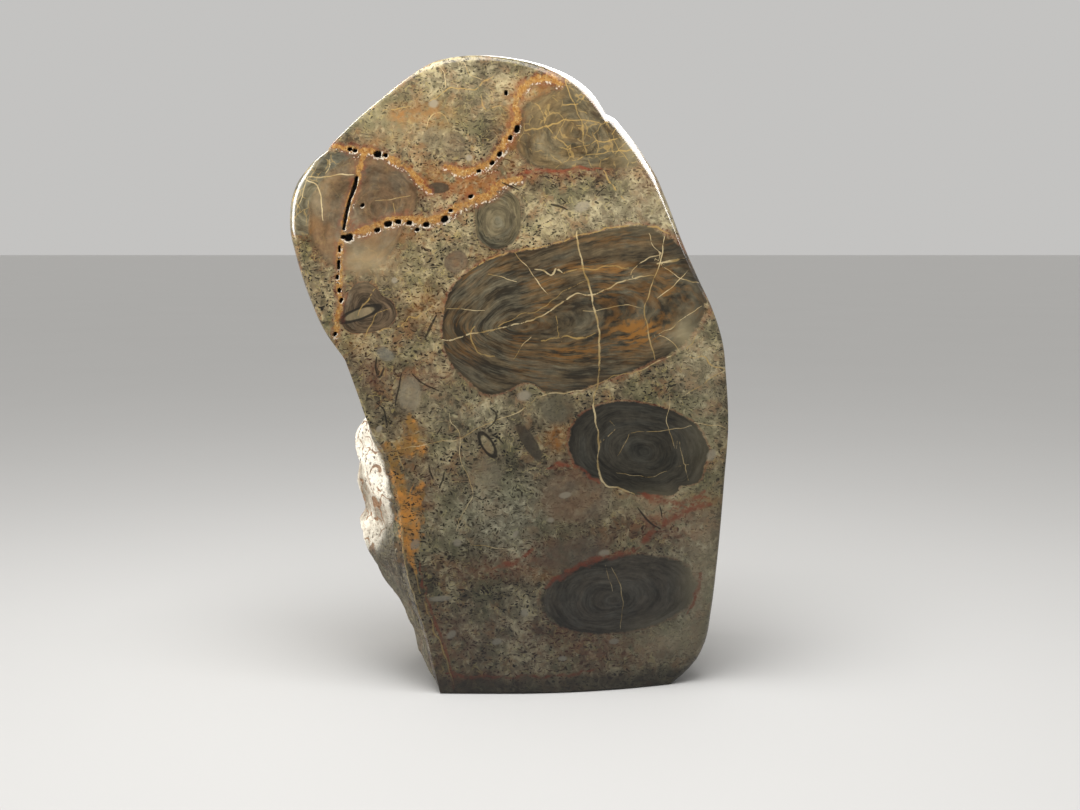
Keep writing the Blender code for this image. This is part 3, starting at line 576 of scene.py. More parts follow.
GREY_PATCHES = (
    (0.0, 42.0, 17.0, 13.0, 0.9), (46.0, 72.0, 7.0, 14.0, 0.5), (42.0, 26.0, 12.0, 16.0, 0.5),
    (30.0, 113.0, 14.0, 7.0, 0.5), (-10.0, 147.0, 16.0, 6.0, 0.4), (-8.0, 66.0, 14.0, 5.0, 0.4),
    (-40.0, 72.0, 5.0, 6.0, 0.4), (0.0, 14.0, 20.0, 8.0, 0.3),
)
# The rust bands up the left of the face: half widths and points, as the veins have
RUST_BANDS = (
    (2.2, ((-27.6, 57.8), (-24.0, 58.3), (-21.0, 57.6))),
    (1.5, ((-27.4, 55.5), (-26.6, 51.5), (-25.6, 48.0), (-25.0, 44.0))),
    (1.3, ((-20.9, 49.0), (-21.6, 45.5))),
    (2.7, ((-23.2, 44.2), (-22.9, 41.0))),
    (1.2, ((-23.4, 65.2), (-22.4, 61.8), (-22.8, 58.5))),
    (2.3, ((-23.4, 43.2), (-23.6, 40.0), (-23.2, 36.4), (-23.3, 34.4))),
    (0.6, ((-23.4, 35.0), (-22.8, 31.5), (-22.0, 28.5))),
)


def linear(red, green, blue):
    """A display colour of 0 to 255 as the linear light the shaders mix."""
    share = np.array([red, green, blue]) / 255
    low, high = share / 12.92, ((share + 0.055) / 1.055) ** 2.4
    return tuple(float(v) for v in np.where(share <= 0.04045, low, high))


def smooth_line(rows, steps):
    """steps + 1 rows evenly spaced along a cubic through the given rows, with chord lengths as its knots.

    Between two knots the row is h00 p0 + h01 p1 + (h10 m0 + h11 m1) times the chord, the Hermite form,
    where a slope m is the change between a knot's neighbours over their distance.
    """
    rows = np.array(rows, float)
    chords = np.linalg.norm(np.diff(rows[:, :2], axis=0), axis=1)
    knots = np.concatenate([[0.0], np.cumsum(chords)])
    slopes = np.gradient(rows, knots, axis=0)
    place = np.linspace(0.0, knots[-1], steps + 1)
    span = np.clip(np.searchsorted(knots, place, side="right") - 1, 0, len(chords) - 1)
    width = chords[span][:, None]
    s = (place - knots[span])[:, None] / width
    start_share = (1 + 2 * s) * (1 - s) ** 2
    end_share = s**2 * (3 - 2 * s)
    bend_start = s * (1 - s) ** 2 * width
    bend_end = s**2 * (s - 1) * width
    return (
        start_share * rows[span]
        + end_share * rows[span + 1]
        + bend_start * slopes[span]
        + bend_end * slopes[span + 1]
    )


def lattice_noise(points, cell, seed):
    """Gradient noise, about -1 to 1: a random slope at each corner of a lattice of cubes.

    The corners' slopes are blended by the weight 6 t^5 - 15 t^4 + 10 t^3 along each side of a cube.
    """
    slopes = np.random.default_rng(seed).normal(size=(4096, 3))
    slopes /= np.linalg.norm(slopes, axis=1)[:, None]
    scaled = points / cell
    corner = np.floor(scaled).astype(np.int64)
    within = scaled - corner
    ease = within**3 * (within * (within * 6 - 15) + 10)
    total = np.zeros(len(points))
    for offset in itertools.product((0, 1), repeat=3):
        i, j, k = (corner + offset).T
        slope = slopes[(i * 73856093 ^ j * 19349663 ^ k * 83492791) & 4095]
        weight = np.where(offset, ease, 1 - ease).prod(axis=1)
        total += weight * ((within - offset) * slope).sum(axis=1)
    return 1.6 * total


def outline_loop():
    """The outline as one closed loop of rows, from the base's left corner round by the right."""
    base = np.linspace(*np.array(BASE_EDGE), ACROSS_STEPS + 1)
    top = smooth_line(TOP_EDGE, ACROSS_STEPS)
    left = smooth_line(LEFT_EDGE, UP_STEPS)
    right = smooth_line(RIGHT_EDGE, UP_STEPS)
    return np.concatenate([base[:-1], right[:-1], top[:0:-1], left[:0:-1]])


def sides_of(loop):
    """A loop cut back into its base, right, top and left sides."""
    a, b = ACROSS_STEPS, ACROSS_STEPS + UP_STEPS
    c, d = b + ACROSS_STEPS, b + ACROSS_STEPS + UP_STEPS
    ring = np.concatenate([loop, loop[:1]])
    return ring[: a + 1], ring[a : b + 1], ring[b : c + 1][::-1], ring[c : d + 1][::-1]


def patch(loop):
    """A Coons patch: a grid inside a loop, its sides blended both ways less the blend of its corners."""
    base, right, top, left = sides_of(loop)
    u = np.linspace(0, 1, ACROSS_STEPS + 1)[None, :, None]
    v = np.linspace(0, 1, UP_STEPS + 1)[:, None, None]
    ruled = (1 - v) * base[None] + v * top[None] + (1 - u) * left[:, None] + u * right[:, None]
    low = (1 - u) * base[0] + u * base[-1]
    high = (1 - u) * top[0] + u * top[-1]
    return ruled - (1 - v) * low - v * high


def face_y(x, z):
    """The polished face: a plane that leans back, a shallow dome, and a fall to the lower right corner."""
    lean = math.tan(math.radians(FACE_LEAN)) * z
    across = DOME_ACROSS * (x / HALF_WIDTH) ** 2
    up = DOME_UP * ((z - FACE_MID_HEIGHT) / HALF_HEIGHT) ** 2
    fall = np.clip(x / HALF_WIDTH, 0, 1) ** 2 * np.clip(1 - z / FACE_MID_HEIGHT, 0, 1) ** 2
    return FACE_FRONT + lean + across + up + CORNER_FALL * fall


def depth_of(points):
    """How deep each point lies behind the polished face's surface, and 0 in front of it."""
    return np.maximum(points[:, 1] - face_y(points[:, 0], points[:, 2]), 0.0)


def on_the_face(points):
    """True for each point that lies on the polished face, or less than FACE_MARGIN behind it."""
    return points[:, 1] < face_y(points[:, 0], points[:, 2]) + FACE_MARGIN


def back_y(x, z):
    """The back: deepest at BACK_WIDEST above the base, and nearer at the top, the foot and the sides.

    It comes forwards by the square of the share of the way to each of them.
    """
    above = np.clip((z - BACK_WIDEST) / (2 * HALF_HEIGHT - BACK_WIDEST), 0, 1)
    below = np.clip((BACK_WIDEST - z) / BACK_WIDEST, 0, 1)
    across = BACK_SIDE_FALL * (x / HALF_WIDTH) ** 2
    return BACK_REACH - BACK_TOP_FALL * above**2 - BACK_FOOT_FALL * below**2 - across


def inwards(points, distance):
    """Points of an outline moved towards the stone's heart by a distance."""
    way = points - np.array(HEART)
    return points - way / np.linalg.norm(way, axis=1)[:, None] * distance[:, None]


def eased(outline, movable, rounds):
    """The outline with its small notches smoothed out.

    Each round sets a movable point to a quarter of either neighbour plus half of itself.
    """
    calm = outline.copy()
    for _ in range(rounds):
        mean = (np.roll(calm, 1, axis=0) + 2 * calm + np.roll(calm, -1, axis=0)) / 4
        calm = np.where(movable[:, None], mean, calm)
    return calm


def with_depth(points, y):
    return np.stack([points[:, 0], y, points[:, 1]], axis=1)


def wall_rows(loop):
    """Closed rows of points from the face's edge to the back's, as (rows, points round, xyz), and each
    row's share of the way back.

    The edge turns over as a quarter ellipse, the wall runs back with its bulge and taper, and a second
    quarter ellipse turns into the back, where the outline has lost its small notches. The base keeps
    flat, so it has neither taper nor bulge.
    """
    outline, rounding, bulge = loop[:, :2], loop[:, 2], loop[:, 3]
    on_base = outline[:, 1] < ON_BASE
    calm = eased(outline, ~on_base, BACK_EASE)
    back_round = np.where(on_base, BASE_ROUND, BACK_ROUND)
    taper = np.where(on_base, 0.0, BACK_TAPER)
    inner = inwards(eased(outline, ~on_base, FACE_EASE), rounding)
    edge_y = face_y(inner[:, 0], inner[:, 1])
    back_rim = inwards(calm, taper + back_round)
    rim_y = back_y(back_rim[:, 0], back_rim[:, 1])
    rows, shares = [], []
    for angle in np.linspace(0, math.pi / 2, ROUND_ROWS + 1)[:-1]:
        edge = inner + (outline - inner) * math.sin(angle)
        rows.append(with_depth(edge, edge_y + rounding * (1 - math.cos(angle))))
        shares.append(0.0)
    for share in np.linspace(0, 1, WALL_ROWS + 1)[:-1]:
        swell = math.sin(math.pi * min(share / BULGE_END, 1.0)) ** BULGE_FULLNESS
        wall = inwards(outline + (calm - outline) * share, taper * share)
        wall[:, 0] -= bulge * swell * np.where(on_base, 0.0, 1.0)
        start, end = edge_y + rounding, rim_y - back_round
        rows.append(with_depth(wall, start + (end - start) * share))
        shares.append(share)
    for angle in np.linspace(0, math.pi / 2, BACK_ROWS + 1):
        edge = inwards(calm, taper + back_round * (1 - math.cos(angle)))
        rows.append(with_depth(edge, rim_y - back_round * (1 - math.sin(angle))))
        shares.append(1.0)
    return np.array(rows), np.array(shares)


def grid_faces(rows, columns, first, closed):
    """Four-sided faces between neighbouring rows of a grid of vertices numbered from first."""
    last = columns if closed else columns - 1
    row, column = np.meshgrid(np.arange(rows - 1), np.arange(last), indexing="ij")
    here = first + row * columns + column
    beside = first + row * columns + (column + 1) % columns
    return np.stack([here, beside, beside + columns, here + columns], axis=-1).reshape(-1, 4)


def rough_height(points):
    """How far rough stone stands out, in mm: lumps of falling size, and ledges along the tilted bedding."""
    height = sum(
        size * lattice_noise(points, cell, NOISE_SEED + i) for i, (cell, size) in enumerate(LUMPS)
    )
    level = points[:, 2] * math.cos(LEDGE_TILT) + points[:, 0] * math.sin(LEDGE_TILT)
    level = level / LEDGE_PITCH + LEDGE_WANDER * lattice_noise(points, LEDGE_PITCH, NOISE_SEED + 9)
    part = level - np.floor(level)
    ledge = np.clip(part / LEDGE_RISE, 0, 1) - np.clip((part - LEDGE_RISE) / (1 - LEDGE_RISE), 0, 1)
    return height + LEDGE_STEP * (ledge - 0.5)


def grit_height(points):
    """The finer relief on broken stone, in mm: three more noises of falling size."""
    return sum(
        size * lattice_noise(points, cell, NOISE_SEED + 20 + i)
        for i, (cell, size) in enumerate(GRIT)
    )


def roughness_mask(loop, rows, shares):
    """1 where the stone is rough and 0 where it is polished or sawn, for each point of the wall.

    The polish ends at its share of the depth plus a noise, where there is polish at all.
    """
    wander = lattice_noise(rows.reshape(-1, 3), POLISH_END_CELL, NOISE_SEED + 14).reshape(rows.shape[:2])
    polished = loop[:, 4] + POLISH_END_WANDER * wander * (loop[:, 4] > 0)
    rough = np.clip((shares[:, None] - polished) / POLISH_END_RAMP, 0, 1)
    on_back = shares[:, None] == 1.0
    sawn = (loop[:, 1][None] < ON_BASE) & ~on_back
    return np.where(sawn, 0.0, np.where(on_back, 1.0, rough))


def stone_surface():
    """The smooth stone's points, faces and roughness: the face, the wall and the back as three grids."""
    loop = outline_loop()
    rows, shares = wall_rows(loop)
    face = patch(rows[0][:, [0, 2]])
    face = np.stack([face[..., 0], face_y(face[..., 0], face[..., 1]), face[..., 1]], axis=-1)
    back = patch(rows[-1][:, [0, 2]])
    back = np.stack([back[..., 0], back_y(back[..., 0], back[..., 1]), back[..., 1]], axis=-1)
    points = np.concatenate([face.reshape(-1, 3), rows.reshape(-1, 3), back.reshape(-1, 3)])
    up, across = face.shape[:2]
    wall_first, back_first = up * across, up * across + rows.shape[0] * rows.shape[1]
    faces = np.concatenate(
        [
            grid_faces(up, across, 0, closed=False),
            grid_faces(rows.shape[0], rows.shape[1], wall_first, closed=True)[:, ::-1],
            grid_faces(up, across, back_first, closed=False)[:, ::-1],
        ]
    )
    rough = np.concatenate(
        [np.zeros(up * across), roughness_mask(loop, rows, shares).ravel(), np.ones(up * across)]
    )
    return points, faces, rough


def nearest_line(points, lines, seed, thickness=1.0, wander=0.0, taper=0.0):
    """For each point, the way to the nearest line of a kind, over the line's half width there.

    Returns rows of (across, up, guard). A line is a sheet that leans as it goes into the stone and
    thins out at its own depth, so a point is first slid back along the lean, and then by a noise of
    the wander's size. The way to the nearest point of the line is then divided by the half width
    there, which loses the taper's share towards the ends, over TAPER_LENGTH, and thins with depth by
    the square root of 1 - depth / reach.
    The guard is the distance less the mesh's spacing over the half width, and keeps a false line from
    showing where neighbouring points look at two different lines.
    """
    rng = np.random.default_rng(seed)
    depth = depth_of(points)
    found = np.full((len(points), 3), FAR)
    least = np.full(len(points), NEAR_ENOUGH)
    slide = [lattice_noise(points, WANDER_CELL, seed + i) for i in (100, 200)]
    slide = wander * np.stack(slide, axis=1)
    for half_width, line in lines:
        half_width = half_width * thickness
        lean = rng.uniform(-LEAN_RANGE, LEAN_RANGE, 2)
        reach = rng.uniform(*REACH_RANGE)
        path = smooth_line(line, 5 * (len(line) - 1))
        flat = points[:, [0, 2]] + depth[:, None] * lean + slide
        margin = LINE_MARGIN + 3 * half_width
        near = (flat > path.min(axis=0) - margin) & (flat < path.max(axis=0) + margin)
        near = np.flatnonzero(near.all(axis=1) & (depth < 0.95 * reach))
        start, step = path[:-1], np.diff(path, axis=0)
        away = flat[near][:, None] - start[None]
        share = np.clip((away * step).sum(axis=2) / (step**2).sum(axis=1), 0, 1)
        way = away - share[..., None] * step[None]
        distance = np.linalg.norm(way, axis=2)
        pick = distance.argmin(axis=1)
        each = np.arange(len(near))
        place = (pick + share[each, pick]) / len(step)
        from_end = np.minimum(place, 1 - place) * np.linalg.norm(step, axis=1).sum()
        swell = 1 - taper * (1 - np.clip(from_end / TAPER_LENGTH, 0, 1))
        width = half_width * swell * (1 - depth[near] / reach) ** 0.5
        way, distance = way[each, pick] / width[:, None], distance[each, pick]
        better = distance / width < least[near]
        least[near[better]] = (distance / width)[better]
        guard = np.maximum(distance - SPACING, 0) / width
        found[near[better]] = np.column_stack([way, guard])[better]
    return found


def nearest_bit(points, bits):
    """For each point, the way from the nearest small ellipse's centre in that ellipse's own half sizes.

    Returns rows of (along, across, guard), as nearest_line does. The bit is an ellipsoid, so the
    measure grows with depth by 1 / sqrt(1 - (depth / half height)^2).
    """
    depth = depth_of(points)
    found = np.full((len(points), 3), FAR)
    least = np.full(len(points), NEAR_ENOUGH)
    for x, z, half_length, half_height, tilt in bits:
        turn = math.radians(tilt)
        away = points[:, [0, 2]] - (x, z)
        along = (away[:, 0] * math.cos(turn) + away[:, 1] * math.sin(turn)) / half_length
        across = (away[:, 1] * math.cos(turn) - away[:, 0] * math.sin(turn)) / half_height
        sunk = np.sqrt(np.maximum(1 - (depth / half_height) ** 2, 1e-3))
        measure = np.hypot(along, across) / sunk
        better = measure < least
        least[better] = measure[better]
        guard = np.maximum(measure - SPACING / half_height, 0)
        found[better] = np.column_stack([along / sunk, across / sunk, guard])[better]
    return found


def patches_of(points, patches):
    """The sum of soft ellipses: strength times exp(-(x^2 + z^2)) in half sizes, which fades inwards."""
    depth = depth_of(points)
    total = np.zeros(len(points))
    for x, z, half_width, half_height, strength in patches:
        measure = ((points[:, 0] - x) / half_width) ** 2 + ((points[:, 2] - z) / half_height) ** 2
        total += strength * np.exp(-measure - (depth / (half_width + half_height)) ** 2)
    return total


def reach_of(outline, centre, angles):
    """How far a closed outline lies from a centre at each angle, read off a smooth curve through it."""
    closed = np.concatenate([outline, outline[:1]])
    curve = smooth_line(closed, 12 * len(outline))[:-1] - centre
    turn = np.arctan2(curve[:, 1], curve[:, 0])
    order = np.argsort(turn)
    return np.interp(angles, turn[order], np.hypot(*curve.T)[order], period=2 * math.pi)


def calm_reach(outline, centre, angles):
    """The same distance with its small waves left out: the first three harmonics of the turn."""
    turn = np.linspace(0, 2 * math.pi, 360, endpoint=False)
    waves = np.fft.rfft(reach_of(outline, centre, turn))
    waves[4:] = 0
    return np.interp(angles, turn, np.fft.irfft(waves, 360), period=2 * math.pi)


def clast_fields(points):
    """What the shader needs of the nearest clast, as a dictionary of attributes.

    "ring" is the distance from the clast's centre over its outline's reach at that angle, from a
    calm oval in the middle to the true outline at 1, and it grows with depth to close the clast.
    "layer" is the same measure times the number of layers, but in the largest oncoid it is measured
    against the long oval of LONG_LAYERS.
    """
    depth = depth_of(points)
    ring = np.full(len(points), NO_CLAST)
    layer_number = np.zeros(len(points))
    trait, edge = np.zeros((len(points), 3)), np.zeros((len(points), 3))
    tone = np.tile(linear(*NO_CLAST_COLOUR), (len(points), 1))

    def take(measure, layer, colour, traits, edges):
        better = (measure < ring) & (ring > 1)
        ring[better] = measure[better]
        layer_number[better] = layer[better]
        tone[better] = linear(*colour)
        trait[better] = traits
        edge[better] = (*edges, 0.0)

    for row in CLASTS:
        outline, centre, thickness, colour, layers = row[:5]
        away = points[:, [0, 2]] - centre
        angle, distance = np.arctan2(away[:, 1], away[:, 0]), np.hypot(*away.T)
        true, calm = reach_of(outline, centre, angle), calm_reach(outline, centre, angle)
        share = np.clip(distance / true, 0, 1) ** 3
        measure = distance / (calm + (true - calm) * share)
        sunk = depth / thickness
        layer = np.hypot(measure, sunk)
        if outline is LARGE_ONCOID:
            layer = np.hypot(distance / reach_of(LONG_LAYERS, centre, angle), sunk)
        take(np.hypot(measure, sunk), layer * layers, colour, row[5:8], row[8:10])
    for centre, half_sizes, tilt, colour, layers in BURIED_ONCOIDS:
        away = points - centre
        c, s = math.cos(math.radians(tilt)), math.sin(math.radians(tilt))
        along, up = away[:, 0] * c + away[:, 2] * s, away[:, 2] * c - away[:, 0] * s
        own = np.stack([along, away[:, 1], up], axis=1) / half_sizes
        wander = 1 + BURIED_WANDER * lattice_noise(points, BURIED_CELL, NOISE_SEED + 31)
        measure = np.linalg.norm(own, axis=1) * wander
        take(measure, measure * layers, colour, BURIED_TRAITS, BURIED_EDGES)
    return {
        "ring": ring,
        "layer": layer_number,
        "clast_tone": tone,
        "clast_trait": trait,
        "clast_edge": edge,
    }


def flank_shade_share(points):
    """1 where painted shade darkens the lower part of the broken left side, and 0 on the pale rind above
    and behind it.

    The two meet along a slanting line on the side, as a ramp over FLANK_RAMP, and the share fades out
    towards the back.
    """
    start, end = np.array(FLANK_LINE)
    way = (end - start) / np.linalg.norm(end - start)
    away = points[:, [0, 2]] - start
    beyond = away[:, 0] * way[1] - away[:, 1] * way[0]
    beyond = beyond + 0.5 * FLANK_RAMP * lattice_noise(points, FLANK_CELL, NOISE_SEED + 33)
    left = np.clip((FLANK_END - points[:, 1]) / FLANK_FADE, 0, 1)
    return np.clip(beyond / FLANK_RAMP + 0.5, 0, 1) * left


def mesh_points(mesh):
    points = np.empty(len(mesh.vertices) * 3)
    mesh.vertices.foreach_get("co", points)
    return points.reshape(-1, 3) / MM


def store(mesh, name, kind, values):
    """Puts one value, vector or colour for each vertex into an attribute that the shader reads."""
    if kind == "FLOAT_COLOR":
        values = np.column_stack([values, np.ones(len(values))])
    field = {"FLOAT": "value", "FLOAT_VECTOR": "vector", "FLOAT_COLOR": "color"}[kind]
    attribute = mesh.attributes.new(name, kind, "POINT")
    attribute.data.foreach_set(field, np.ascontiguousarray(values, dtype=np.float32).ravel())


def cut_round_openings(work):
    """Halves the edges round the openings a few times, so that their walls have a mesh to stand on."""
    for _ in range(OPENING_CUTS):
        work.verts.index_update()
        points = np.array([vertex.co for vertex in work.verts]) / MM
        way = nearest_line(points, OPENINGS, NOISE_SEED + 68, taper=OPENING_TAPER)
        widths = np.hypot(way[:, 0], way[:, 1])
        near = on_the_face(points) & (widths < 1 + OPENING_MARGIN)
        edges = [e for e in work.edges if near[e.verts[0].index] and near[e.verts[1].index]]
        bmesh.ops.subdivide_edges(work, edges=edges, cuts=1, use_grid_fill=True)


def opening_depth(points, way, deepest):
    """How far an opening sinks, in mm: full inside its edge, which is frayed by noise, and 0 outside.

    The wall between is s^2 (3 - 2 s), where s runs from 0 at the edge to 1 a wall's width inside it.
    """
    fray = OPENING_FRAY * lattice_noise(points, OPENING_CELL, NOISE_SEED + 50)
    measure = np.maximum(np.hypot(way[:, 0], way[:, 1]), way[:, 2]) + fray
    share = np.clip((OPENING_EDGE - measure) / OPENING_WALL, 0, 1)
    return deepest * share**2 * (3 - 2 * share)


def dress_with_fields(mesh, points, vein_width):
    """Stores what the shader needs to know of every point: veins, fossils, clasts and stains.

    Each kind of line has its name, its lines, what their half widths are multiplied by, how far the
    lines wander in mm, and how much of the half width is lost at the ends.
    """
    kinds = (
        ("cream_vein", CREAM_VEINS, vein_width, 0.3, 0.45),
        ("pale_vein", PALE_VEINS, vein_width, 0.4, 0.45),
        ("gold_vein", GOLD_VEINS, vein_width, 0.55, 0.45),
        ("crossing_vein", CROSSING_VEINS, vein_width, 0.5, 0.45),
        ("rust_vein", RUST_VEINS, 1.0, 0.3, 0.3),
        ("rust_band", RUST_BANDS, 1.0, 0.6, 0.3),
        ("red_line", RED_LINES, 1.0, 0.7, 0.45),
        ("black_line", BLACK_LINES, 1.0, 0.15, 0.45),
        ("opening", OPENINGS, 1.0, 0.0, OPENING_TAPER),
    )
    for i, (name, lines, thickness, wander, taper) in enumerate(kinds):
        way = nearest_line(points, lines, NOISE_SEED + 60 + i, thickness, wander, taper)
        store(mesh, name, "FLOAT_VECTOR", way)
    store(mesh, "pale_bit", "FLOAT_VECTOR", nearest_bit(points, PALE_BITS))
    store(mesh, "rimmed_bit", "FLOAT_VECTOR", nearest_bit(points, RIMMED_BITS))
    for name, values in clast_fields(points).items():
        kind = "FLOAT" if values.ndim == 1 else "FLOAT_COLOR" if name == "clast_tone" else "FLOAT_VECTOR"
        store(mesh, name, kind, values)
    # The third, the dark patches, holds the painted shade along the foot
    stains = [patches_of(points, p) for p in (ORANGE_PATCHES, RED_PATCHES, DARK_AND_SHADE_PATCHES)]
    store(mesh, "stain_and_shade", "FLOAT_VECTOR", np.stack(stains, axis=1))
    store(mesh, "light_patch", "FLOAT", patches_of(points, LIGHT_PATCHES))
    store(mesh, "grey_patch", "FLOAT", patches_of(points, GREY_PATCHES))
    # Where painted shade darkens the lower left flank
    store(mesh, "flank_shade", "FLOAT", flank_shade_share(points))


def stone_mesh(sizes):
    """The stone as one closed mesh, with its fields, rough relief and openings."""
    points, faces, rough = stone_surface()
    mesh = bpy.data.meshes.new("stromatolite_stone")
    mesh.from_pydata(points * MM, [], faces.tolist())
    store(mesh, "rough", "FLOAT", rough)
    work = bmesh.new()
    work.from_mesh(mesh)
    bmesh.ops.remove_doubles(work, verts=work.verts, dist=MERGE_DISTANCE * MM)
    cut_round_openings(work)
    bmesh.ops.recalc_face_normals(work, faces=work.faces)
    work.to_mesh(mesh)
    work.free()
    points = mesh_points(mesh)
    dress_with_fields(mesh, points, sizes.vein_width)
    count = len(mesh.vertices)
    ways, rough, way = np.empty(count * 3), np.empty(count), np.empty(count * 3)
    mesh.vertex_normals.foreach_get("vector", ways)
    mesh.attributes["rough"].data.foreach_get("value", rough)
    mesh.attributes["opening"].data.foreach_get("vector", way)
    fade = rough * np.clip(points[:, 2] / BASE_FADE, 0, 1)
    height = (rough_height(points) + sizes.grit * grit_height(points)) * fade
    moved = points + ways.reshape(-1, 3) * height[:, None]
    sunk = opening_depth(points, way.reshape(-1, 3), sizes.opening_depth / MM)
    moved[:, 1] += np.where(on_the_face(points), sunk, 0.0)
    moved[:, 0] -= MIDDLE
    moved[:, 2] = np.maximum(moved[:, 2], 0.0)
    mesh.vertices.foreach_set("co", (moved * MM).ravel())
    mesh.update()
    mesh.shade_smooth()
    mesh.set_sharp_from_angle(angle=SHARP_ANGLE)
    return mesh


class Graph:
    """A node tree being wired: each method adds a node and returns the socket that comes out of it."""

    def __init__(self, tree):
        self.tree = tree

    def add(self, kind, inputs=(), **settings):
        node = self.tree.nodes.new(kind)
        for name, value in settings.items():
            setattr(node, name, value)
        for name, value in dict(inputs).items():
            self.feed(node.inputs[name], value)
        return node

    def feed(self, socket, value):
        if isinstance(value, bpy.types.NodeSocket):
            self.tree.links.new(value, socket)
        elif socket.type == "RGBA" and len(value) == 3:
            socket.default_value = (*value, 1)
        else:
            socket.default_value = value

    def math(self, operation, a, b=0.0, c=0.0, clamp=False):
        inputs = {0: a, 1: b, 2: c}
        return self.add("ShaderNodeMath", inputs, operation=operation, use_clamp=clamp).outputs[0]

    def times(self, *factors, clamp=False):
        """The product of two or more factors; only the whole product is clamped."""
        *others, last = factors
        rest = others[0] if len(others) == 1 else self.times(*others)
        return self.math("MULTIPLY", rest, last, clamp=clamp)

    def times_plus(self, a, b, c, clamp=False):
        return self.math("MULTIPLY_ADD", a, b, c, clamp)

    def minus(self, a, b):
        return self.math("SUBTRACT", a, b)

    def larger(self, a, b):
        return self.math("MAXIMUM", a, b)

    def parts(self, vector):
        return self.add("ShaderNodeSeparateXYZ", {0: vector}).outputs

    def vector_math(self, operation, a, b=(0, 0, 0)):
        return self.add("ShaderNodeVectorMath", {0: a, 1: b}, operation=operation).outputs[0]

    def scaled(self, vector, factor):
        node = self.add("ShaderNodeVectorMath", {0: vector, "Scale": factor}, operation="SCALE")
        return node.outputs[0]

    def step(self, value, start, end):
        """0 at start, 1 at end and a smooth step between; start may be above end."""
        inputs = {"Value": value, "From Min": start, "From Max": end}
        node = self.add("ShaderNodeMapRange", inputs, interpolation_type="SMOOTHSTEP")
        return node.outputs["Result"]

    def mix(self, share, a, b, blend="MIX"):
        inputs = {"Factor": share, 6: a, 7: b}
        node = self.add("ShaderNodeMix", inputs, data_type="RGBA", blend_type=blend)
        return node.outputs[2]

    def over(self, colour, tint, *factors, clamp=False):
        """A tint laid over a colour, as strongly as the product of the factors says."""
        return self.mix(self.times(*factors, clamp=clamp), colour, tint)

    def noise_node(self, vector, scale, detail=2.0, roughness=0.5, distortion=0.0):
        inputs = {
            "Vector": vector,
            "Scale": scale,
            "Detail": detail,
            "Roughness": roughness,
            "Distortion": distortion,
        }
        return self.add("ShaderNodeTexNoise", inputs)

    def noise(self, *settings):
        return self.noise_node(*settings).outputs["Fac"]

    def noise_colour(self, *settings):
        return self.noise_node(*settings).outputs["Color"]

    def layered(self, position, layer, stretch, pitch, detail=3.0):
        """Noise drawn out along layers: the layer is a fourth axis, finer than the other three."""
        inputs = {
            "Vector": self.scaled(position, stretch),
            "W": self.times(layer, pitch),
            "Scale": 1.0,
            "Detail": detail,
            "Roughness": 0.6,
        }
        return self.add("ShaderNodeTexNoise", inputs, noise_dimensions="4D").outputs["Fac"]

    def cells(self, vector, scale, feature="F1"):
        return self.add("ShaderNodeTexVoronoi", {"Vector": vector, "Scale": scale}, feature=feature)

    def turned(self, vector, turn, scale):
        inputs = {"Vector": vector, "Rotation": turn, "Scale": scale}
        return self.add("ShaderNodeMapping", inputs).outputs[0]

    def group(self, tree, inputs):
        return self.add("ShaderNodeGroup", inputs, node_tree=tree).outputs

    def field(self, name, output):
        return self.add("ShaderNodeAttribute", attribute_name=name).outputs[output]

    def value_of(self, name):
        return self.field(name, "Fac")

    def vector_of(self, name):
        return self.field(name, "Vector")

    def colour_of(self, name):
        return self.field(name, "Color")


def new_group(name, inputs, outputs):
    """An empty node group with these named sockets, its graph, and its input and output nodes."""
    tree = bpy.data.node_groups.new(name, "ShaderNodeTree")
    for direction, sockets in (("INPUT", inputs), ("OUTPUT", outputs)):
        for socket, kind in sockets:
            tree.interface.new_socket(socket, in_out=direction, socket_type="NodeSocket" + kind)
    graph = Graph(tree)
    given = graph.add("NodeGroupInput").outputs
    result = graph.add("NodeGroupOutput").inputs
    return graph, given, result


def line_mask_group():
    """Line Mask: 1 inside a line of a given kind, with a wandering edge and gaps."""
    graph, given, result = new_group(
        "line_mask",
        (("Offset", "Vector"), ("Position", "Vector"), ("Wobble", "Float"), ("Grain", "Float"),
         ("Gaps", "Float")),
        (("Mask", "Float"), ("Measure", "Float")),
    )
    wave = graph.noise_colour(given["Position"], given["Grain"], 2.0, 0.6)
    wave = graph.scaled(graph.vector_math("SUBTRACT", wave, (0.5, 0.5, 0.5)), given["Wobble"])
    moved = graph.vector_math("ADD", given["Offset"], wave)
    parts = graph.parts(moved)
    square = graph.times_plus(parts["X"], parts["X"], graph.math("POWER", parts["Y"], 2.0))
    guard = graph.parts(given["Offset"])["Z"]
    measure = graph.larger(graph.math("SQRT", square), guard)
    gap = graph.noise(given["Position"], 0.55, 3.0, 0.6)
    gap = graph.times(graph.step(gap, 0.5, 0.66), given["Gaps"])
    measure = graph.math("ADD", measure, gap)
    graph.feed(result["Mask"], graph.step(measure, 1.35, 0.65))
    graph.feed(result["Measure"], measure)
    return graph.tree


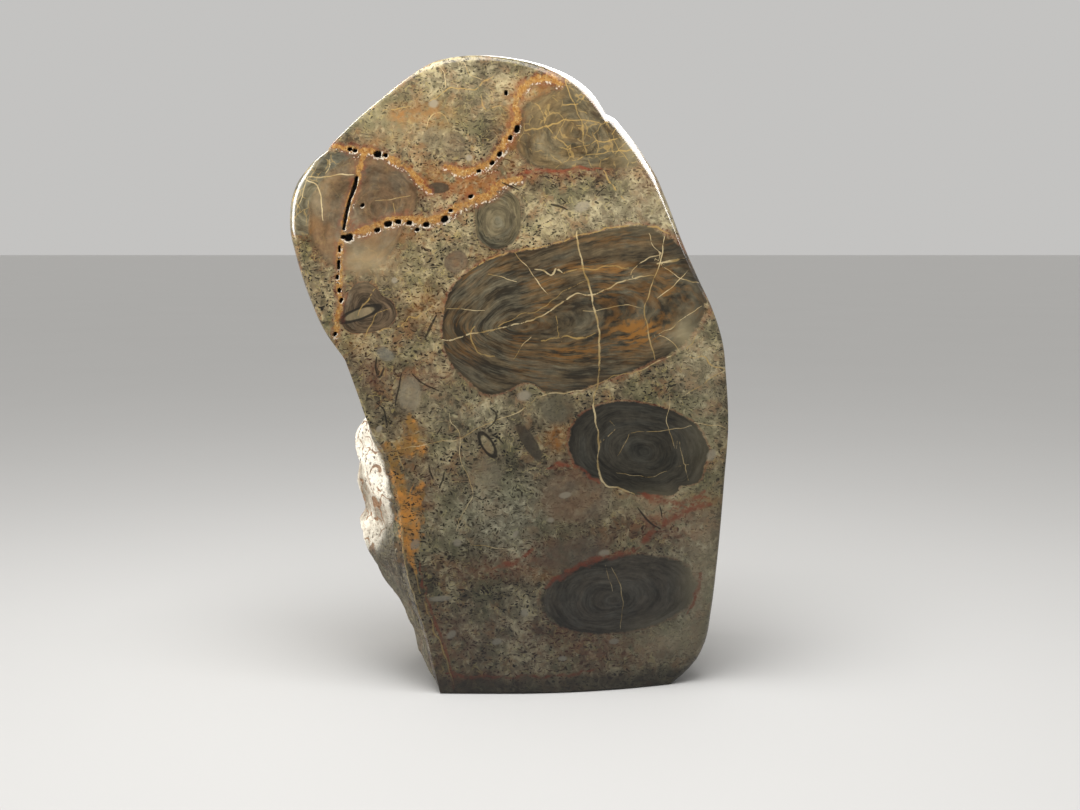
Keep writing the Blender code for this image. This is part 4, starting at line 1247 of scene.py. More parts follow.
def fabric_group():
    """Matrix Fabric: limestone packed with grains, dark dashes, dots and fine olive threads."""
    graph, given, result = new_group(
        "matrix_fabric",
        (("Position", "Vector"), ("Ground", "Color"), ("Pale", "Color"), ("Deep", "Color"),
         ("Thread", "Color"), ("Dark", "Color"), ("Rust", "Color"), ("Olive", "Color")),
        (("Color", "Color"), ("Dark Mask", "Float")),
    )
    position = given["Position"]
    # Grain of three sizes, on a place bent by a slow drift, gives the dark and the pale ground
    drift = graph.noise_colour(position, 0.35, 2.0)
    drift = graph.scaled(graph.vector_math("SUBTRACT", drift, (0.5, 0.5, 0.5)), 2.6)
    bent = graph.vector_math("ADD", position, drift)
    broad = graph.noise(position, 0.09, 3.0, 0.6)
    middle = graph.noise_node(bent, 0.42, 3.0, 0.6)
    fine = graph.noise(bent, 1.05, 3.0, 0.7)
    grain = graph.times_plus(middle.outputs["Fac"], 0.7, graph.times(fine, 0.55))
    grain = graph.times_plus(broad, 0.75, grain)
    colour = graph.mix(graph.step(grain, 1.01, 0.77), given["Ground"], given["Deep"])
    colour = graph.mix(graph.step(grain, 0.96, 1.28), colour, given["Pale"])
    # Greenish and rusty parts, and fine threads where a noise crosses its middle
    hue = graph.noise(position, 0.11, 4.0, 0.65)
    colour = graph.over(colour, given["Olive"], graph.step(hue, 0.52, 0.36), 0.5)
    rust = graph.noise(bent, 0.22, 5.0, 0.7)
    colour = graph.over(colour, given["Rust"], graph.step(rust, 0.5, 0.66), 0.7)
    thread = graph.noise(bent, 0.6, 1.5, 0.5, 0.8)
    thread = graph.step(graph.math("ABSOLUTE", graph.minus(thread, 0.5)), 0.034, 0.012)
    patchy = graph.step(middle.outputs["Color"], 0.42, 0.58)
    thread = graph.times(thread, patchy, 0.5)
    colour = graph.mix(thread, colour, given["Thread"])
    # Larger spots: the scale of their cells, the random tone above which a cell has one, and the
    # spot's reach, tint and strength
    spots = ((0.5, 0.66, 0.3, "Pale", 0.4), (0.26, 0.7, 0.36, "Deep", 0.6))
    for scale, above, reach, tint, strength in spots:
        cell = graph.cells(bent, scale)
        spot = graph.step(cell.outputs["Distance"], reach, 0.6 * reach)
        spot = graph.times(spot, graph.step(cell.outputs["Color"], above, above + 0.04))
        colour = graph.over(colour, given[tint], spot, strength)
    # Dark dashes and dots: the turn and scale of their cells, their reach, and the random tone above
    # which a cell has one
    dark = None
    crowd = graph.step(graph.noise(position, 0.14, 2.0), 0.36, 0.6)
    kinds = (
        ((0.0, 0.6, 0.0), (0.5, 0.8, 1.5), 0.30, 0.45),
        ((0.3, -0.7, 0.2), (0.45, 0.8, 1.7), 0.29, 0.48),
        ((0.1, 1.3, -0.2), (0.26, 0.6, 1.5), 0.26, 0.68),
        ((0.0, 0.2, 0.4), (0.9, 0.9, 1.0), 0.36, 0.5),
        ((0.5, 0.1, 0.1), (1.7, 1.7, 1.7), 0.34, 0.5),
    )
    for turn, scale, reach, above in kinds:
        cell = graph.cells(graph.turned(bent, turn, scale), 1.0)
        spot = graph.step(cell.outputs["Distance"], reach, 0.6 * reach)
        keep = graph.step(cell.outputs["Color"], above, above + 0.03)
        spot = graph.times(spot, keep)
        dark = spot if dark is None else graph.larger(dark, spot)
    dark = graph.times(dark, graph.times_plus(crowd, 0.25, 0.75))
    graph.feed(result["Color"], graph.mix(dark, colour, given["Dark"]))
    graph.feed(result["Dark Mask"], dark)
    return graph.tree


def laminae_group():
    """Oncoid Laminae: thin uneven layers round a clast's middle, with rust streaks and fine veins."""
    graph, given, result = new_group(
        "oncoid_laminae",
        (("Position", "Vector"), ("Ring", "Float"), ("Layer", "Float"), ("Tone", "Color"),
         ("Trait", "Vector"), ("Edge", "Vector"), ("Rust", "Float"), ("Streak", "Color"),
         ("Vein", "Color"), ("Dark", "Color")),
        (("Color", "Color"), ("Mask", "Float"), ("Rim", "Float")),
    )
    position = given["Position"]
    trait = graph.parts(given["Trait"])
    edges = graph.parts(given["Edge"])
    # Layers of two pitches make the clast's colour lighter and darker, and some of them are cooler
    drift = graph.noise(position, 0.1, 4.0, 0.5)
    layer = graph.times_plus(graph.minus(drift, 0.5), 3.0, given["Layer"])
    broad = graph.layered(position, layer, 0.1, 0.45)
    fine = graph.layered(position, layer, 0.34, 2.3, 5.0)
    swing = graph.times_plus(fine, 0.8, broad)
    swing = graph.times(graph.minus(swing, 0.9), trait["X"])
    light = graph.times_plus(swing, 3.2, 1.0)
    cloud = graph.noise(position, 0.6, 5.0, 0.7)
    light = graph.times(light, graph.times_plus(cloud, 1.3, 0.35))
    light = graph.larger(light, 0.35)
    grey = graph.add("ShaderNodeCombineXYZ", {"X": light, "Y": light, "Z": light}).outputs[0]
    cool = {"Hue": 0.52, "Saturation": 0.72, "Color": given["Tone"]}
    cool = graph.add("ShaderNodeHueSaturation", cool).outputs[0]
    cool_share = graph.step(graph.layered(position, layer, 0.12, 0.3), 0.46, 0.6)
    tone = graph.mix(cool_share, given["Tone"], cool)
    colour = graph.mix(1.0, tone, grey, "MULTIPLY")
    # Rust streaks along the layers, and a broken net of fine veins
    streak = graph.layered(position, layer, 0.24, 1.7, 5.0)
    region = graph.step(graph.noise(position, 0.09, 2.0), 0.46, 0.7)
    region = graph.times_plus(region, 0.4, given["Rust"], clamp=True)
    streak = graph.times(graph.step(streak, 0.43, 0.58), region)
    streak = graph.times(streak, trait["Y"], 0.85)
    colour = graph.mix(streak, colour, given["Streak"])
    bend = graph.scaled(graph.noise_colour(position, 0.4, 2.0), 2.0)
    net = graph.cells(graph.vector_math("ADD", position, bend), 0.3, "DISTANCE_TO_EDGE")
    net = graph.step(net.outputs["Distance"], 0.05, 0.012)
    broken = graph.step(graph.noise(position, 0.35, 2.0), 0.42, 0.56)
    net = graph.times(net, broken, trait["Z"])
    colour = graph.mix(net, colour, given["Vein"])
    # The uneven edge: a dark rim inside it, the mask, and a halo just outside it
    wave = graph.noise(position, 0.6, 3.0, 0.65)
    wave = graph.minus(wave, 0.5)
    wobble = graph.times_plus(edges["X"], 1.2, 0.07)
    edge = graph.times_plus(wave, wobble, given["Ring"])
    rim = graph.times(graph.step(edge, 0.93, 0.98), 0.45)
    colour = graph.mix(rim, colour, given["Dark"])
    graph.feed(result["Color"], colour)
    inner, outer = graph.minus(1.0, edges["X"]), graph.math("ADD", 1.0, edges["X"])
    mask = graph.times(graph.step(edge, outer, inner), edges["Y"])
    graph.feed(result["Mask"], mask)
    halo = graph.times(graph.step(edge, 1.05, 1.02), graph.step(edge, 0.99, 1.005))
    crisp = graph.step(edges["X"], 0.1, 0.02)
    graph.feed(result["Rim"], graph.times(halo, crisp))
    return graph.tree


def rind_group():
    """Rind: pale broken and weathered stone, its paleness partly painted light, with brown shell lines,
    specks and pits.
    """
    graph, given, result = new_group(
        "rind",
        (("Position", "Vector"), ("Pale", "Color"), ("Brown", "Color"), ("Grey", "Color"),
         ("Speck", "Color"), ("Worn", "Float"), ("Worn Tone", "Color")),
        (("Color", "Color"), ("Height", "Float")),
    )
    position = given["Position"]
    # Pale stone, its paleness partly painted light, worn and grey stone with brown blotches
    broad = graph.noise(position, 0.06, 4.0, 0.6)
    blotch = graph.noise(position, 0.35, 4.0, 0.65)
    pale = graph.over(given["Pale"], given["Worn Tone"], given["Worn"], 0.9)
    colour = graph.mix(graph.step(broad, 0.46, 0.7), pale, given["Grey"])
    blotch = graph.times(graph.step(blotch, 0.5, 0.75), 0.5)
    colour = graph.mix(blotch, colour, given["Brown"])
    # Thin brown shell lines, where a noise crosses its middle
    hook = graph.noise(position, 0.2, 1.0, 0.4, 0.6)
    hook = graph.step(graph.math("ABSOLUTE", graph.minus(hook, 0.5)), 0.034, 0.018)
    gap = graph.step(graph.noise(position, 0.28, 2.0), 0.42, 0.5)
    hook = graph.times(hook, gap)
    shown = graph.times_plus(given["Worn"], -0.75, 0.9)
    colour = graph.over(colour, given["Brown"], hook, shown)
    # Specks of two sizes, crowded in places, which are pits as well
    crowd = graph.step(graph.noise(position, 0.16, 2.0), 0.38, 0.6)
    speck_mask = None
    for scale, above in ((0.8, 0.42), (1.9, 0.45)):
        speck = graph.cells(position, scale)
        spot = graph.step(speck.outputs["Distance"], 0.34, 0.2)
        spot = graph.times(spot, graph.step(speck.outputs["Color"], above, above + 0.05))
        speck_mask = spot if speck_mask is None else graph.larger(speck_mask, spot)
    speck_mask = graph.times(speck_mask, graph.times_plus(crowd, 0.7, 0.3))
    colour = graph.over(colour, given["Speck"], speck_mask, 0.85)
    graph.feed(result["Color"], colour)
    crumb = graph.noise(position, 0.9, 6.0, 0.7)
    height = graph.minus(crumb, graph.times(speck_mask, 0.35))
    graph.feed(result["Height"], graph.minus(height, graph.times(hook, 0.2)))
    return graph.tree


class StoneGraph(Graph):
    """The limestone's graph, with what several of its layers read: place in mm, stains, painted shade and
    noises.
    """

    def __init__(self, tree):
        super().__init__(tree)
        self.position = self.scaled(self.add("ShaderNodeTexCoord").outputs["Object"], 1 / MM)
        self.place = self.parts(self.position)
        self.uneven = self.step(self.noise(self.position, 0.5, 5.0, 0.7), 0.3, 0.62)
        self.speck = self.noise(self.position, 1.3, 4.0, 0.75)
        # Orange and red stains, and dark patches that hold the painted shade along the foot
        self.stain_and_shade = self.parts(self.vector_of("stain_and_shade"))
        self.line_mask = line_mask_group()

    def line(self, name, wobble, grain, gaps):
        """The mask and the measure of one kind of line."""
        inputs = {"Offset": self.vector_of(name), "Position": self.position}
        inputs.update({"Wobble": wobble, "Grain": grain, "Gaps": gaps})
        return self.group(self.line_mask, inputs)


def ground_layer(graph, look):
    """The ground's fabric, its greyer patches, and its orange and red stains."""
    fabric = graph.group(
        fabric_group(),
        {
            "Position": graph.position,
            "Ground": look.ground,
            "Pale": look.pale_grain,
            "Deep": look.deep_ground,
            "Thread": look.thread,
            "Dark": look.dark_fleck,
            "Rust": look.rusty_ground,
            "Olive": look.olive_ground,
        },
    )
    colour = fabric["Color"]
    drab = graph.add("ShaderNodeHueSaturation", {"Hue": 0.53, "Saturation": 0.62, "Color": colour})
    colour = graph.over(colour, drab.outputs[0], graph.value_of("grey_patch"), 1.0, clamp=True)
    colour = graph.over(colour, look.orange_stain, graph.stain_and_shade["X"], graph.uneven, 1.1, clamp=True)
    colour = graph.over(colour, look.red_stain, graph.stain_and_shade["Y"], graph.uneven, 0.75, clamp=True)
    return colour, fabric


def clast_layer(graph, look, colour):
    """The clasts with their layers and red halos, and the lighter patches over all."""
    laminae = graph.group(
        laminae_group(),
        {
            "Position": graph.position,
            "Ring": graph.value_of("ring"),
            "Layer": graph.value_of("layer"),
            "Tone": graph.colour_of("clast_tone"),
            "Trait": graph.vector_of("clast_trait"),
            "Edge": graph.vector_of("clast_edge"),
            "Rust": graph.stain_and_shade["X"],
            "Streak": look.gold_streak,
            "Vein": look.gold_vein,
            "Dark": look.dark_fleck,
        },
    )
    colour = graph.over(colour, look.red_stain, laminae["Rim"], graph.uneven, 0.4)
    colour = graph.mix(laminae["Mask"], colour, laminae["Color"])
    light = graph.times(graph.value_of("light_patch"), 0.35)
    return graph.mix(light, colour, look.pale_grain, "SCREEN"), laminae


def rust_band_layer(graph, look, colour, dark_mask):
    """The rust bands, brighter below and ochre above, with the dark grains left clear."""
    band = graph.step(graph.line("rust_band", 2.0, 0.9, 0.0)["Measure"], 1.5, 0.65)
    ochre = graph.noise(graph.position, 0.35, 4.0, 0.6)
    ochre = graph.step(graph.times_plus(graph.place["Z"], 0.012, ochre), 1.0, 1.2)
    tint = graph.mix(ochre, look.rust_band, look.ochre_band)
    patchy, clear = graph.times_plus(graph.uneven, 0.75, 0.2), graph.minus(1.0, dark_mask)
    return graph.over(colour, tint, band, patchy, clear)


def fossil_layer(graph, look, colour):
    """The pale bits, and the rimmed bits with their dark outlines."""
    bit = graph.line("pale_bit", 0.35, 0.9, 0.0)
    colour = graph.over(colour, look.pale_bit, bit["Mask"], 0.75)
    rimmed = graph.line("rimmed_bit", 0.2, 0.5, 0.0)
    colour = graph.over(colour, look.pale_grain, rimmed["Mask"], 0.25)
    from_edge = graph.math("ABSOLUTE", graph.minus(rimmed["Measure"], 1.0))
    return graph.over(colour, look.dark_fleck, graph.step(from_edge, 0.3, 0.12), 0.9)


def rust_vein_layer(graph, look, colour):
    """The red lines, and the orange veins: stained ground beside them, crumbs and crystals in them, and a
    white lining along their lower side.
    """
    red_line = graph.step(graph.line("red_line", 2.4, 0.6, 1.2)["Measure"], 2.2, 0.4)
    colour = graph.over(colour, look.red_stain, red_line, graph.times_plus(graph.uneven, 0.5, 0.25))
    vein = graph.line("rust_vein", 1.7, 0.8, 0.7)
    inner = graph.mix(graph.step(graph.speck, 0.36, 0.6), look.orange_stain, look.orange_vein)
    inner = graph.over(inner, look.red_stain, graph.step(graph.speck, 0.38, 0.3), 0.6)
    sparkle = graph.step(graph.noise(graph.position, 1.5, 5.0, 0.75), 0.52, 0.68)
    inner = graph.over(inner, look.sparkle, sparkle, 0.85)
    crumb = graph.step(graph.noise(graph.position, 2.1, 3.0, 0.65), 0.55, 0.64)
    inner = graph.over(inner, look.dark_fleck, crumb, 0.5)
    beside = graph.step(vein["Measure"], 2.8, 1.1)
    colour = graph.over(colour, look.red_stain, beside, graph.uneven, 0.5)
    colour = graph.over(colour, inner, vein["Mask"], graph.times_plus(graph.uneven, 0.3, 0.62))
    below = graph.parts(graph.vector_of("rust_vein"))["Y"]
    lining = graph.times(
        graph.step(below, -0.55, -0.95),
        graph.step(below, -1.7, -1.35),
        graph.step(vein["Measure"], 1.9, 1.4),
        graph.step(graph.noise(graph.position, 1.7, 2.0, 0.6), 0.53, 0.58),
    )
    return graph.over(colour, look.crust_and_glint, lining, 0.9)


def fine_vein_layer(graph, look, colour):
    """The fine calcite and golden veins, which fade towards gold in places, and the dark cut shells."""
    faint = graph.step(graph.noise(graph.position, 0.2, 3.0), 0.35, 0.62)
    for name, tint, wobble, gaps, share in (
        ("pale_vein", look.cream_vein, 1.2, 1.0, 0.75),
        ("gold_vein", look.gold_vein, 1.8, 1.1, 0.7),
        ("crossing_vein", look.gold_vein, 1.8, 1.2, 0.6),
        ("cream_vein", look.cream_vein, 1.1, 0.7, 0.85),
    ):
        vein = graph.line(name, wobble, 0.9, gaps)
        strength = graph.times_plus(faint, 0.4 * share, 0.6 * share)
        tinted = graph.mix(faint, look.gold_vein, tint)
        colour = graph.over(colour, tinted, vein["Mask"], strength)
    shell = graph.line("black_line", 0.5, 0.5, 0.2)
    return graph.over(colour, look.dark_fleck, shell["Mask"], 0.85)


def opening_layer(graph, look, colour):
    """The openings, filled with painted shade, with crystal crusts, partly painted glint, along the side
    that CRUST_SIDE points to.
    """
    opening = graph.line("opening", 1.7, 1.5, 0.0)
    inputs = {0: graph.vector_of("opening"), 1: CRUST_SIDE}
    side = graph.add("ShaderNodeVectorMath", inputs, operation="DOT_PRODUCT").outputs["Value"]
    # Crystal crust on the lit side, partly painted glint
    beside = graph.times(graph.step(opening["Measure"], 1.9, 1.5), graph.step(graph.speck, 0.4, 0.55))
    colour = graph.over(colour, look.crust_and_glint, graph.step(side, -0.4, 0.5), beside)
    # Painted shade: the inside of each opening goes near black
    inside = graph.step(opening["Measure"], 1.25, 0.95)
    return graph.mix(inside, colour, OPENING_SHADE), inside


def painted_shade_layer(graph, look, colour):
    """Painted shade: the dark band along the foot, with the dark patches, and a tint that changes from the
    foot to the top, darker at the foot.
    """
    # Painted shade: a dark band along the foot, joined by the dark patches
    foot = graph.step(graph.times_plus(graph.uneven, 1.2, graph.place["Z"]), 6.5, 3.6)
    dark = graph.larger(graph.times(graph.stain_and_shade["Z"], 0.7), foot)
    colour = graph.over(colour, look.foot, dark, look.foot_shade, clamp=True)
    # Painted shade: a tint that darkens the stone towards the foot
    shade = graph.mix(graph.step(graph.place["Z"], -15.0, 140.0), look.low_shade_tint, look.high_shade_tint)
    return graph.mix(1.0, colour, shade, "MULTIPLY")


def rind_layer(graph, look, laminae, fabric):
    """The rind's colour and relief: the clasts show through it faintly, and painted shade darkens its
    flank.
    """
    rind = graph.group(
        rind_group(),
        {
            "Position": graph.position,
            "Pale": look.rind,
            "Brown": look.rind_brown,
            "Grey": look.rind_grey,
            "Speck": look.rind_speck,
            # The pale rind, partly painted light, stays at the front and gives way to the worn tone towards
            # the back
            "Worn": graph.step(graph.place["Y"], -14.0, 6.0),
            "Worn Tone": look.rind_worn,
        },
    )
    shown = graph.times_plus(graph.uneven, 0.3, 0.14)
    colour = graph.over(rind["Color"], laminae["Color"], laminae["Mask"], shown)
    # Painted shade on the lower left flank, its dark colours mottled with the fabric
    mottled_shade = graph.mix(0.3, graph.mix(graph.uneven, look.foot, look.flank_shade), fabric["Color"])
    return graph.over(colour, mottled_shade, graph.value_of("flank_shade"), 0.97), rind["Height"]


def limestone_material(look):
    """Limestone: its layers laid over one another where it is polished, and the rind where it is rough."""
    material = bpy.data.materials.new("oncolitic_limestone")
    material.use_nodes = True
    material.node_tree.nodes.clear()
    graph = StoneGraph(material.node_tree)
    # The polished stone, from the ground up
    colour, fabric = ground_layer(graph, look)
    colour, laminae = clast_layer(graph, look, colour)
    colour = rust_band_layer(graph, look, colour, fabric["Dark Mask"])
    for layer in (fossil_layer, rust_vein_layer, fine_vein_layer):
        colour = layer(graph, look, colour)
    colour, inside = opening_layer(graph, look, colour)
    colour = painted_shade_layer(graph, look, colour)
    # The rind beyond a ragged border, with its relief, and slow dimples under the polish
    ragged = graph.minus(graph.noise(graph.position, 0.5, 3.0, 0.6), 0.5)
    rough = graph.step(graph.times_plus(ragged, 0.35, graph.value_of("rough")), 0.12, 0.32)
    rind_colour, rind_relief = rind_layer(graph, look, laminae, fabric)
    dimple = graph.times(graph.noise(graph.position, 0.25, 1.0), 0.02)
    relief = graph.math("ADD", graph.times(rind_relief, graph.times(rough, 0.9)), dimple)
    bump = graph.add("ShaderNodeBump", {"Height": relief, "Distance": MM, "Strength": 0.8})
    # The gloss: a polish that is a little uneven, and none on the rind or in the openings
    worn = graph.noise(graph.position, 0.2, 4.0, 0.6)
    polish = graph.times_plus(worn, 0.12, look.polish_roughness - 0.06)
    gloss = {"Value": graph.larger(rough, inside), "To Min": polish, "To Max": ROUGH_GLOSS}
    gloss = graph.add("ShaderNodeMapRange", gloss).outputs["Result"]
    colour = graph.mix(rough, colour, rind_colour)
    inputs = {"Base Color": colour, "Roughness": gloss, "Normal": bump.outputs[0]}
    shader = graph.add("ShaderNodeBsdfPrincipled", inputs)
    shader.inputs["Metallic"].default_value = 0.0
    shader.inputs["Specular IOR Level"].default_value = 0.3
    graph.add("ShaderNodeOutputMaterial", {"Surface": shader.outputs[0]})
    return material


def floor_material(look):
    """A plain pale matt floor with the slightest unevenness of tone."""
    material = bpy.data.materials.new("pale_floor")
    material.use_nodes = True
    graph = Graph(material.node_tree)
    shader = material.node_tree.nodes["Principled BSDF"]
    position = graph.add("ShaderNodeTexCoord").outputs["Object"]
    tone = graph.noise(position, 6.0, 3.0)
    darker = tuple(0.96 * v for v in look.floor)
    graph.feed(shader.inputs["Base Color"], graph.mix(tone, darker, look.floor))
    shader.inputs["Roughness"].default_value = 0.7
    shader.inputs["Specular IOR Level"].default_value = 0.2
    return material


def colour_setting(name, description, red, green, blue):
    return bpy.props.FloatVectorProperty(
        name=name, description=description, default=linear(red, green, blue), subtype="COLOR",
        size=3, min=0.0, max=1.0,
    )


def power_setting(name, description, watts):
    return bpy.props.FloatProperty(name=name, description=description, default=watts, unit="POWER")


class StromatoliteSizes(bpy.types.PropertyGroup):
    """Sizes of the stone's relief."""

    opening_depth: bpy.props.FloatProperty(
        name="Opening depth", description="How deep the cleft and the vugs are",
        default=1.5 * MM, unit="LENGTH",
    )
    vein_width: bpy.props.FloatProperty(
        name="Vein width", description="Width of the fine veins against the drawn one", default=0.62,
    )
    grit: bpy.props.FloatProperty(
        name="Grit", description="Strength of the fine relief on broken stone", default=1.0,
    )


class StromatoliteLook(bpy.types.PropertyGroup):
    """Colours and finish of the limestone."""

    ground: colour_setting("Ground", "Ground of the limestone between the clasts", 116, 105, 83)
    pale_grain: colour_setting("Pale grains", "Pale grains in the ground", 196, 183, 145)
    deep_ground: colour_setting("Deep ground", "Darker parts of the ground", 60, 54, 42)
    thread: colour_setting("Threads", "Fine olive threads in the ground", 178, 162, 104)
    dark_fleck: colour_setting("Dark flecks", "Dark dashes, dots and shells", 28, 25, 21)
    rusty_ground: colour_setting("Rusty ground", "Rusty parts of the ground", 134, 98, 64)
    olive_ground: colour_setting("Olive ground", "Greenish parts of the ground", 104, 104, 74)
    orange_stain: colour_setting("Orange stain", "Orange iron stains and streaks", 150, 98, 42)
    gold_streak: colour_setting("Gold streaks", "Golden brown streaks in the oncoids", 158, 110, 50)
    rust_band: colour_setting("Rust band", "Bright rust up the left of the face", 232, 158, 70)
    ochre_band: colour_setting("Ochre band", "Duller parts of the rust band", 156, 118, 60)
    red_stain: colour_setting("Red stain", "Red iron stains and lines", 138, 68, 46)
    orange_vein: colour_setting("Orange vein", "Open orange veins", 184, 142, 78)
    sparkle: colour_setting("Sparkle", "Crystals in the orange veins", 222, 198, 140)
    cream_vein: colour_setting("Cream vein", "Fine calcite veins", 222, 204, 162)
    gold_vein: colour_setting("Gold vein", "Fine golden veins", 190, 160, 98)
    pale_bit: colour_setting("Pale bits", "Small pale fossils", 164, 156, 138)
    # Crystal crust, laid on the lit side of the vugs as painted glint as well
    crust_and_glint: colour_setting("Crust", "Fine crystals round the vugs", 220, 212, 198)
    # Painted shade along the foot
    foot: colour_setting("Foot", "Dark band along the foot", 62, 57, 50)
    # Painted shade on the lower left flank
    flank_shade: colour_setting("Flank", "Dark lower part of the broken side", 50, 45, 36)
    # Pale rind, partly painted light; towards the back it gives way to the worn tone
    rind: colour_setting("Rind", "Pale broken stone", 236, 228, 210)
    rind_brown: colour_setting("Brown rind", "Brown shell lines and blotches in the rind", 134, 98, 66)
    rind_speck: colour_setting("Rind specks", "Dark brown specks in the rind", 74, 54, 36)
    rind_worn: colour_setting("Worn rind", "Weathered stone of the back", 152, 140, 117)
    rind_grey: colour_setting("Grey rind", "Grey weathered stone", 134, 124, 106)
    # Painted shade: these two tints darken the polished stone towards the foot
    low_shade_tint: colour_setting("Low tint", "Tint of the polished stone at the foot", 142, 146, 152)
    high_shade_tint: colour_setting("High tint", "Tint of the polished stone at the top", 255, 249, 238)
    polish_roughness: bpy.props.FloatProperty(
        name="Polish roughness", description="Roughness of the polished face", default=0.14,
        min=0.0, max=1.0, subtype="FACTOR",
    )
    foot_shade: bpy.props.FloatProperty(
        name="Foot shade", description="Strength of the dark band along the foot", default=0.7,
        min=0.0, max=1.0, subtype="FACTOR",
    )


class StromatoliteStage(bpy.types.PropertyGroup):
    """The floor, the light and the camera."""

    floor: colour_setting("Floor", "Colour of the floor", 205, 204, 202)
    sky: bpy.props.FloatProperty(
        name="Room light", description="Strength of the pale light all round", default=0.55,
    )
    key_power: power_setting("Overhead light", "Soft light above the stone", 1.5)
    rim_power: power_setting("Rim light", "Light above and behind the stone", 11.0)
    side_power: power_setting("Side light", "Light to the left", 3.6)
    shoulder_power: power_setting("Shoulder light", "Light above the left shoulder", 2.0)
    back_power: power_setting("Back light", "Soft light on the rough back", 1.0)
    front_strength: bpy.props.FloatProperty(
        name="Front light", description="Strength of the even light from the front left", default=0.5,
    )
    lens: bpy.props.FloatProperty(
        name="Lens", description="Focal length of the camera, in mm", default=50.0,
    )
    pitch: bpy.props.FloatProperty(
        name="Pitch", description="How far the camera looks down", default=math.radians(6.0),
        subtype="ANGLE",
    )
    distance: bpy.props.FloatProperty(
        name="Distance", description="From the camera to the middle of the face",
        default=350.6 * MM, unit="LENGTH",
    )
    target: bpy.props.FloatVectorProperty(
        name="Target", description="Point at the middle of the picture",
        default=(7.6 * MM, -23.6 * MM, 68.05 * MM), size=3, subtype="XYZ", unit="LENGTH",
    )


class OBJECT_OT_stromatolite_stone(bpy.types.Operator):
    """Builds the stone in place of the CAD one and gives it its limestone"""

    bl_idname = "object.stromatolite_stone"
    bl_label = "Stone"

    def execute(self, context):
        mesh = stone_mesh(context.scene.stromatolite_sizes)
        mesh.materials.append(limestone_material(context.scene.stromatolite_look))
        stone = bpy.data.objects.new("stromatolite_stone", mesh)
        context.scene.collection.objects.link(stone)
        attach(stone, "root")
        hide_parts("stromatolite")
        return {"FINISHED"}


def soft_light(name, place, aim, power, size, only=None, diffuse=True):
    """A rectangle of light at a place, in metres, that faces the point aimed at.

    Where a collection is given, it lights that collection only, and the floor keeps even. A light
    that isn't diffuse shows in the gloss alone.
    """
    lamp = bpy.data.lights.new(name, "AREA")
    lamp.shape = "RECTANGLE"
    lamp.size, lamp.size_y = size
    lamp.energy = power
    light = bpy.data.objects.new(name, lamp)
    light.location = place
    light.rotation_euler = (Vector(aim) - Vector(place)).to_track_quat("-Z", "Y").to_euler()
    light.light_linking.receiver_collection = only
    light.visible_diffuse = diffuse
    bpy.context.scene.collection.objects.link(light)


def lay_floor(scene, look):
    """A square of plain floor, FLOOR_HALF either way."""
    half = FLOOR_HALF
    corners = [(-half, -half, 0), (half, -half, 0), (half, half, 0), (-half, half, 0)]
    mesh = bpy.data.meshes.new("floor")
    mesh.from_pydata(corners, [], [(0, 1, 2, 3)])
    mesh.materials.append(floor_material(look))
    floor = bpy.data.objects.new("floor", mesh)
    scene.collection.objects.link(floor)
    return floor


def hang_lights(scene, look, floor):
    """Even light all round and from the front left, a soft lamp above, and four that edge the stone."""
    world = scene.world or bpy.data.worlds.new("room")
    scene.world = world
    world.use_nodes = True
    backdrop = world.node_tree.nodes["Background"]
    backdrop.inputs["Color"].default_value = ROOM_COLOUR
    backdrop.inputs["Strength"].default_value = look.sky
    soft_light("overhead", (-0.03, -0.10, 0.40), (0, -0.02, 0.08), look.key_power, (0.3, 0.2))
    edges = bpy.data.collections.new("edge_lit")
    for piece in scene.collection.objects:
        if piece.type == "MESH" and piece is not floor:
            edges.objects.link(piece)
    middle, left, top = (0, 0, 0.12), (-0.03, 0, 0.07), (-0.03, 0, 0.13)
    soft_light("rim", (0.22, 0.16, 0.42), middle, look.rim_power, (0.55, 0.3), edges, False)
    soft_light("shoulder", (-0.30, 0.18, 0.46), top, look.shoulder_power, (0.15, 0.2), edges, False)
    soft_light("side", (-0.46, 0.05, 0.26), left, look.side_power, (0.2, 0.3), edges)
    soft_light("back", (0.12, 0.45, 0.40), left, look.back_power, (0.3, 0.3), edges)
    sun = bpy.data.lights.new("front", "SUN")
    sun.energy = look.front_strength
    sun.angle = FRONT_SOFTNESS
    light = bpy.data.objects.new("front", sun)
    light.rotation_euler = Vector(FRONT_WAY).to_track_quat("-Z", "Y").to_euler()
    scene.collection.objects.link(light)


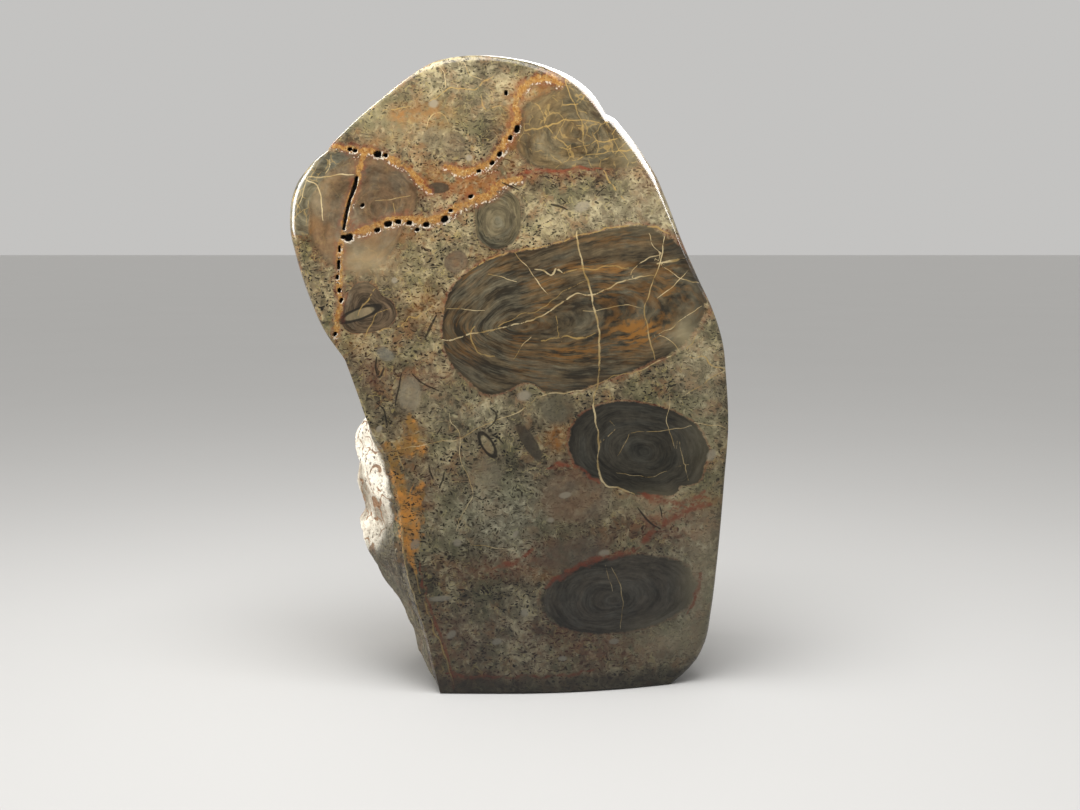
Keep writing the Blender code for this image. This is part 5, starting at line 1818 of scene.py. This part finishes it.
def set_camera(scene, look):
    """The camera at its distance from the target, looking down by the pitch."""
    data = bpy.data.cameras.new("camera")
    data.lens = look.lens
    camera = bpy.data.objects.new("camera", data)
    forwards = Vector((0, math.cos(look.pitch), -math.sin(look.pitch)))
    camera.location = Vector(look.target) - forwards * look.distance
    camera.rotation_euler = forwards.to_track_quat("-Z", "Y").to_euler()
    scene.collection.objects.link(camera)
    scene.camera = camera


class OBJECT_OT_stromatolite_stage(bpy.types.Operator):
    """Lays the floor, hangs the lights and sets the camera"""

    bl_idname = "object.stromatolite_stage"
    bl_label = "Stage"

    def execute(self, context):
        scene = context.scene
        look = scene.stromatolite_stage
        hang_lights(scene, look, lay_floor(scene, look))
        set_camera(scene, look)
        scene.view_settings.view_transform = "Standard"
        return {"FINISHED"}


class VIEW3D_PT_stromatolite(bpy.types.Panel):
    """Lists the pieces and their settings"""

    bl_label = "Stromatolite"
    bl_space_type = "VIEW_3D"
    bl_region_type = "UI"
    bl_category = "Stromatolite"

    def draw(self, context):
        scene = context.scene
        pieces = (
            (OBJECT_OT_stromatolite_stone, scene.stromatolite_sizes),
            (OBJECT_OT_stromatolite_stone, scene.stromatolite_look),
            (OBJECT_OT_stromatolite_stage, scene.stromatolite_stage),
        )
        for operator, settings in pieces:
            box = self.layout.box()
            box.operator(operator.bl_idname)
            for name in settings.__annotations__:
                box.prop(settings, name)


CLASSES = (
    StromatoliteSizes,
    StromatoliteLook,
    StromatoliteStage,
    OBJECT_OT_stromatolite_stone,
    OBJECT_OT_stromatolite_stage,
    VIEW3D_PT_stromatolite,
)
SETTINGS = (
    ("stromatolite_sizes", StromatoliteSizes),
    ("stromatolite_look", StromatoliteLook),
    ("stromatolite_stage", StromatoliteStage),
)


def register():
    for kind in CLASSES:
        bpy.utils.register_class(kind)
    for name, kind in SETTINGS:
        setattr(bpy.types.Scene, name, bpy.props.PointerProperty(type=kind))


def unregister():
    for name, _ in SETTINGS:
        delattr(bpy.types.Scene, name)
    for kind in reversed(CLASSES):
        bpy.utils.unregister_class(kind)


def main():
    register()
    bpy.ops.object.stromatolite_stone()
    bpy.ops.object.stromatolite_stage()


if __name__ == "__main__":
    main()
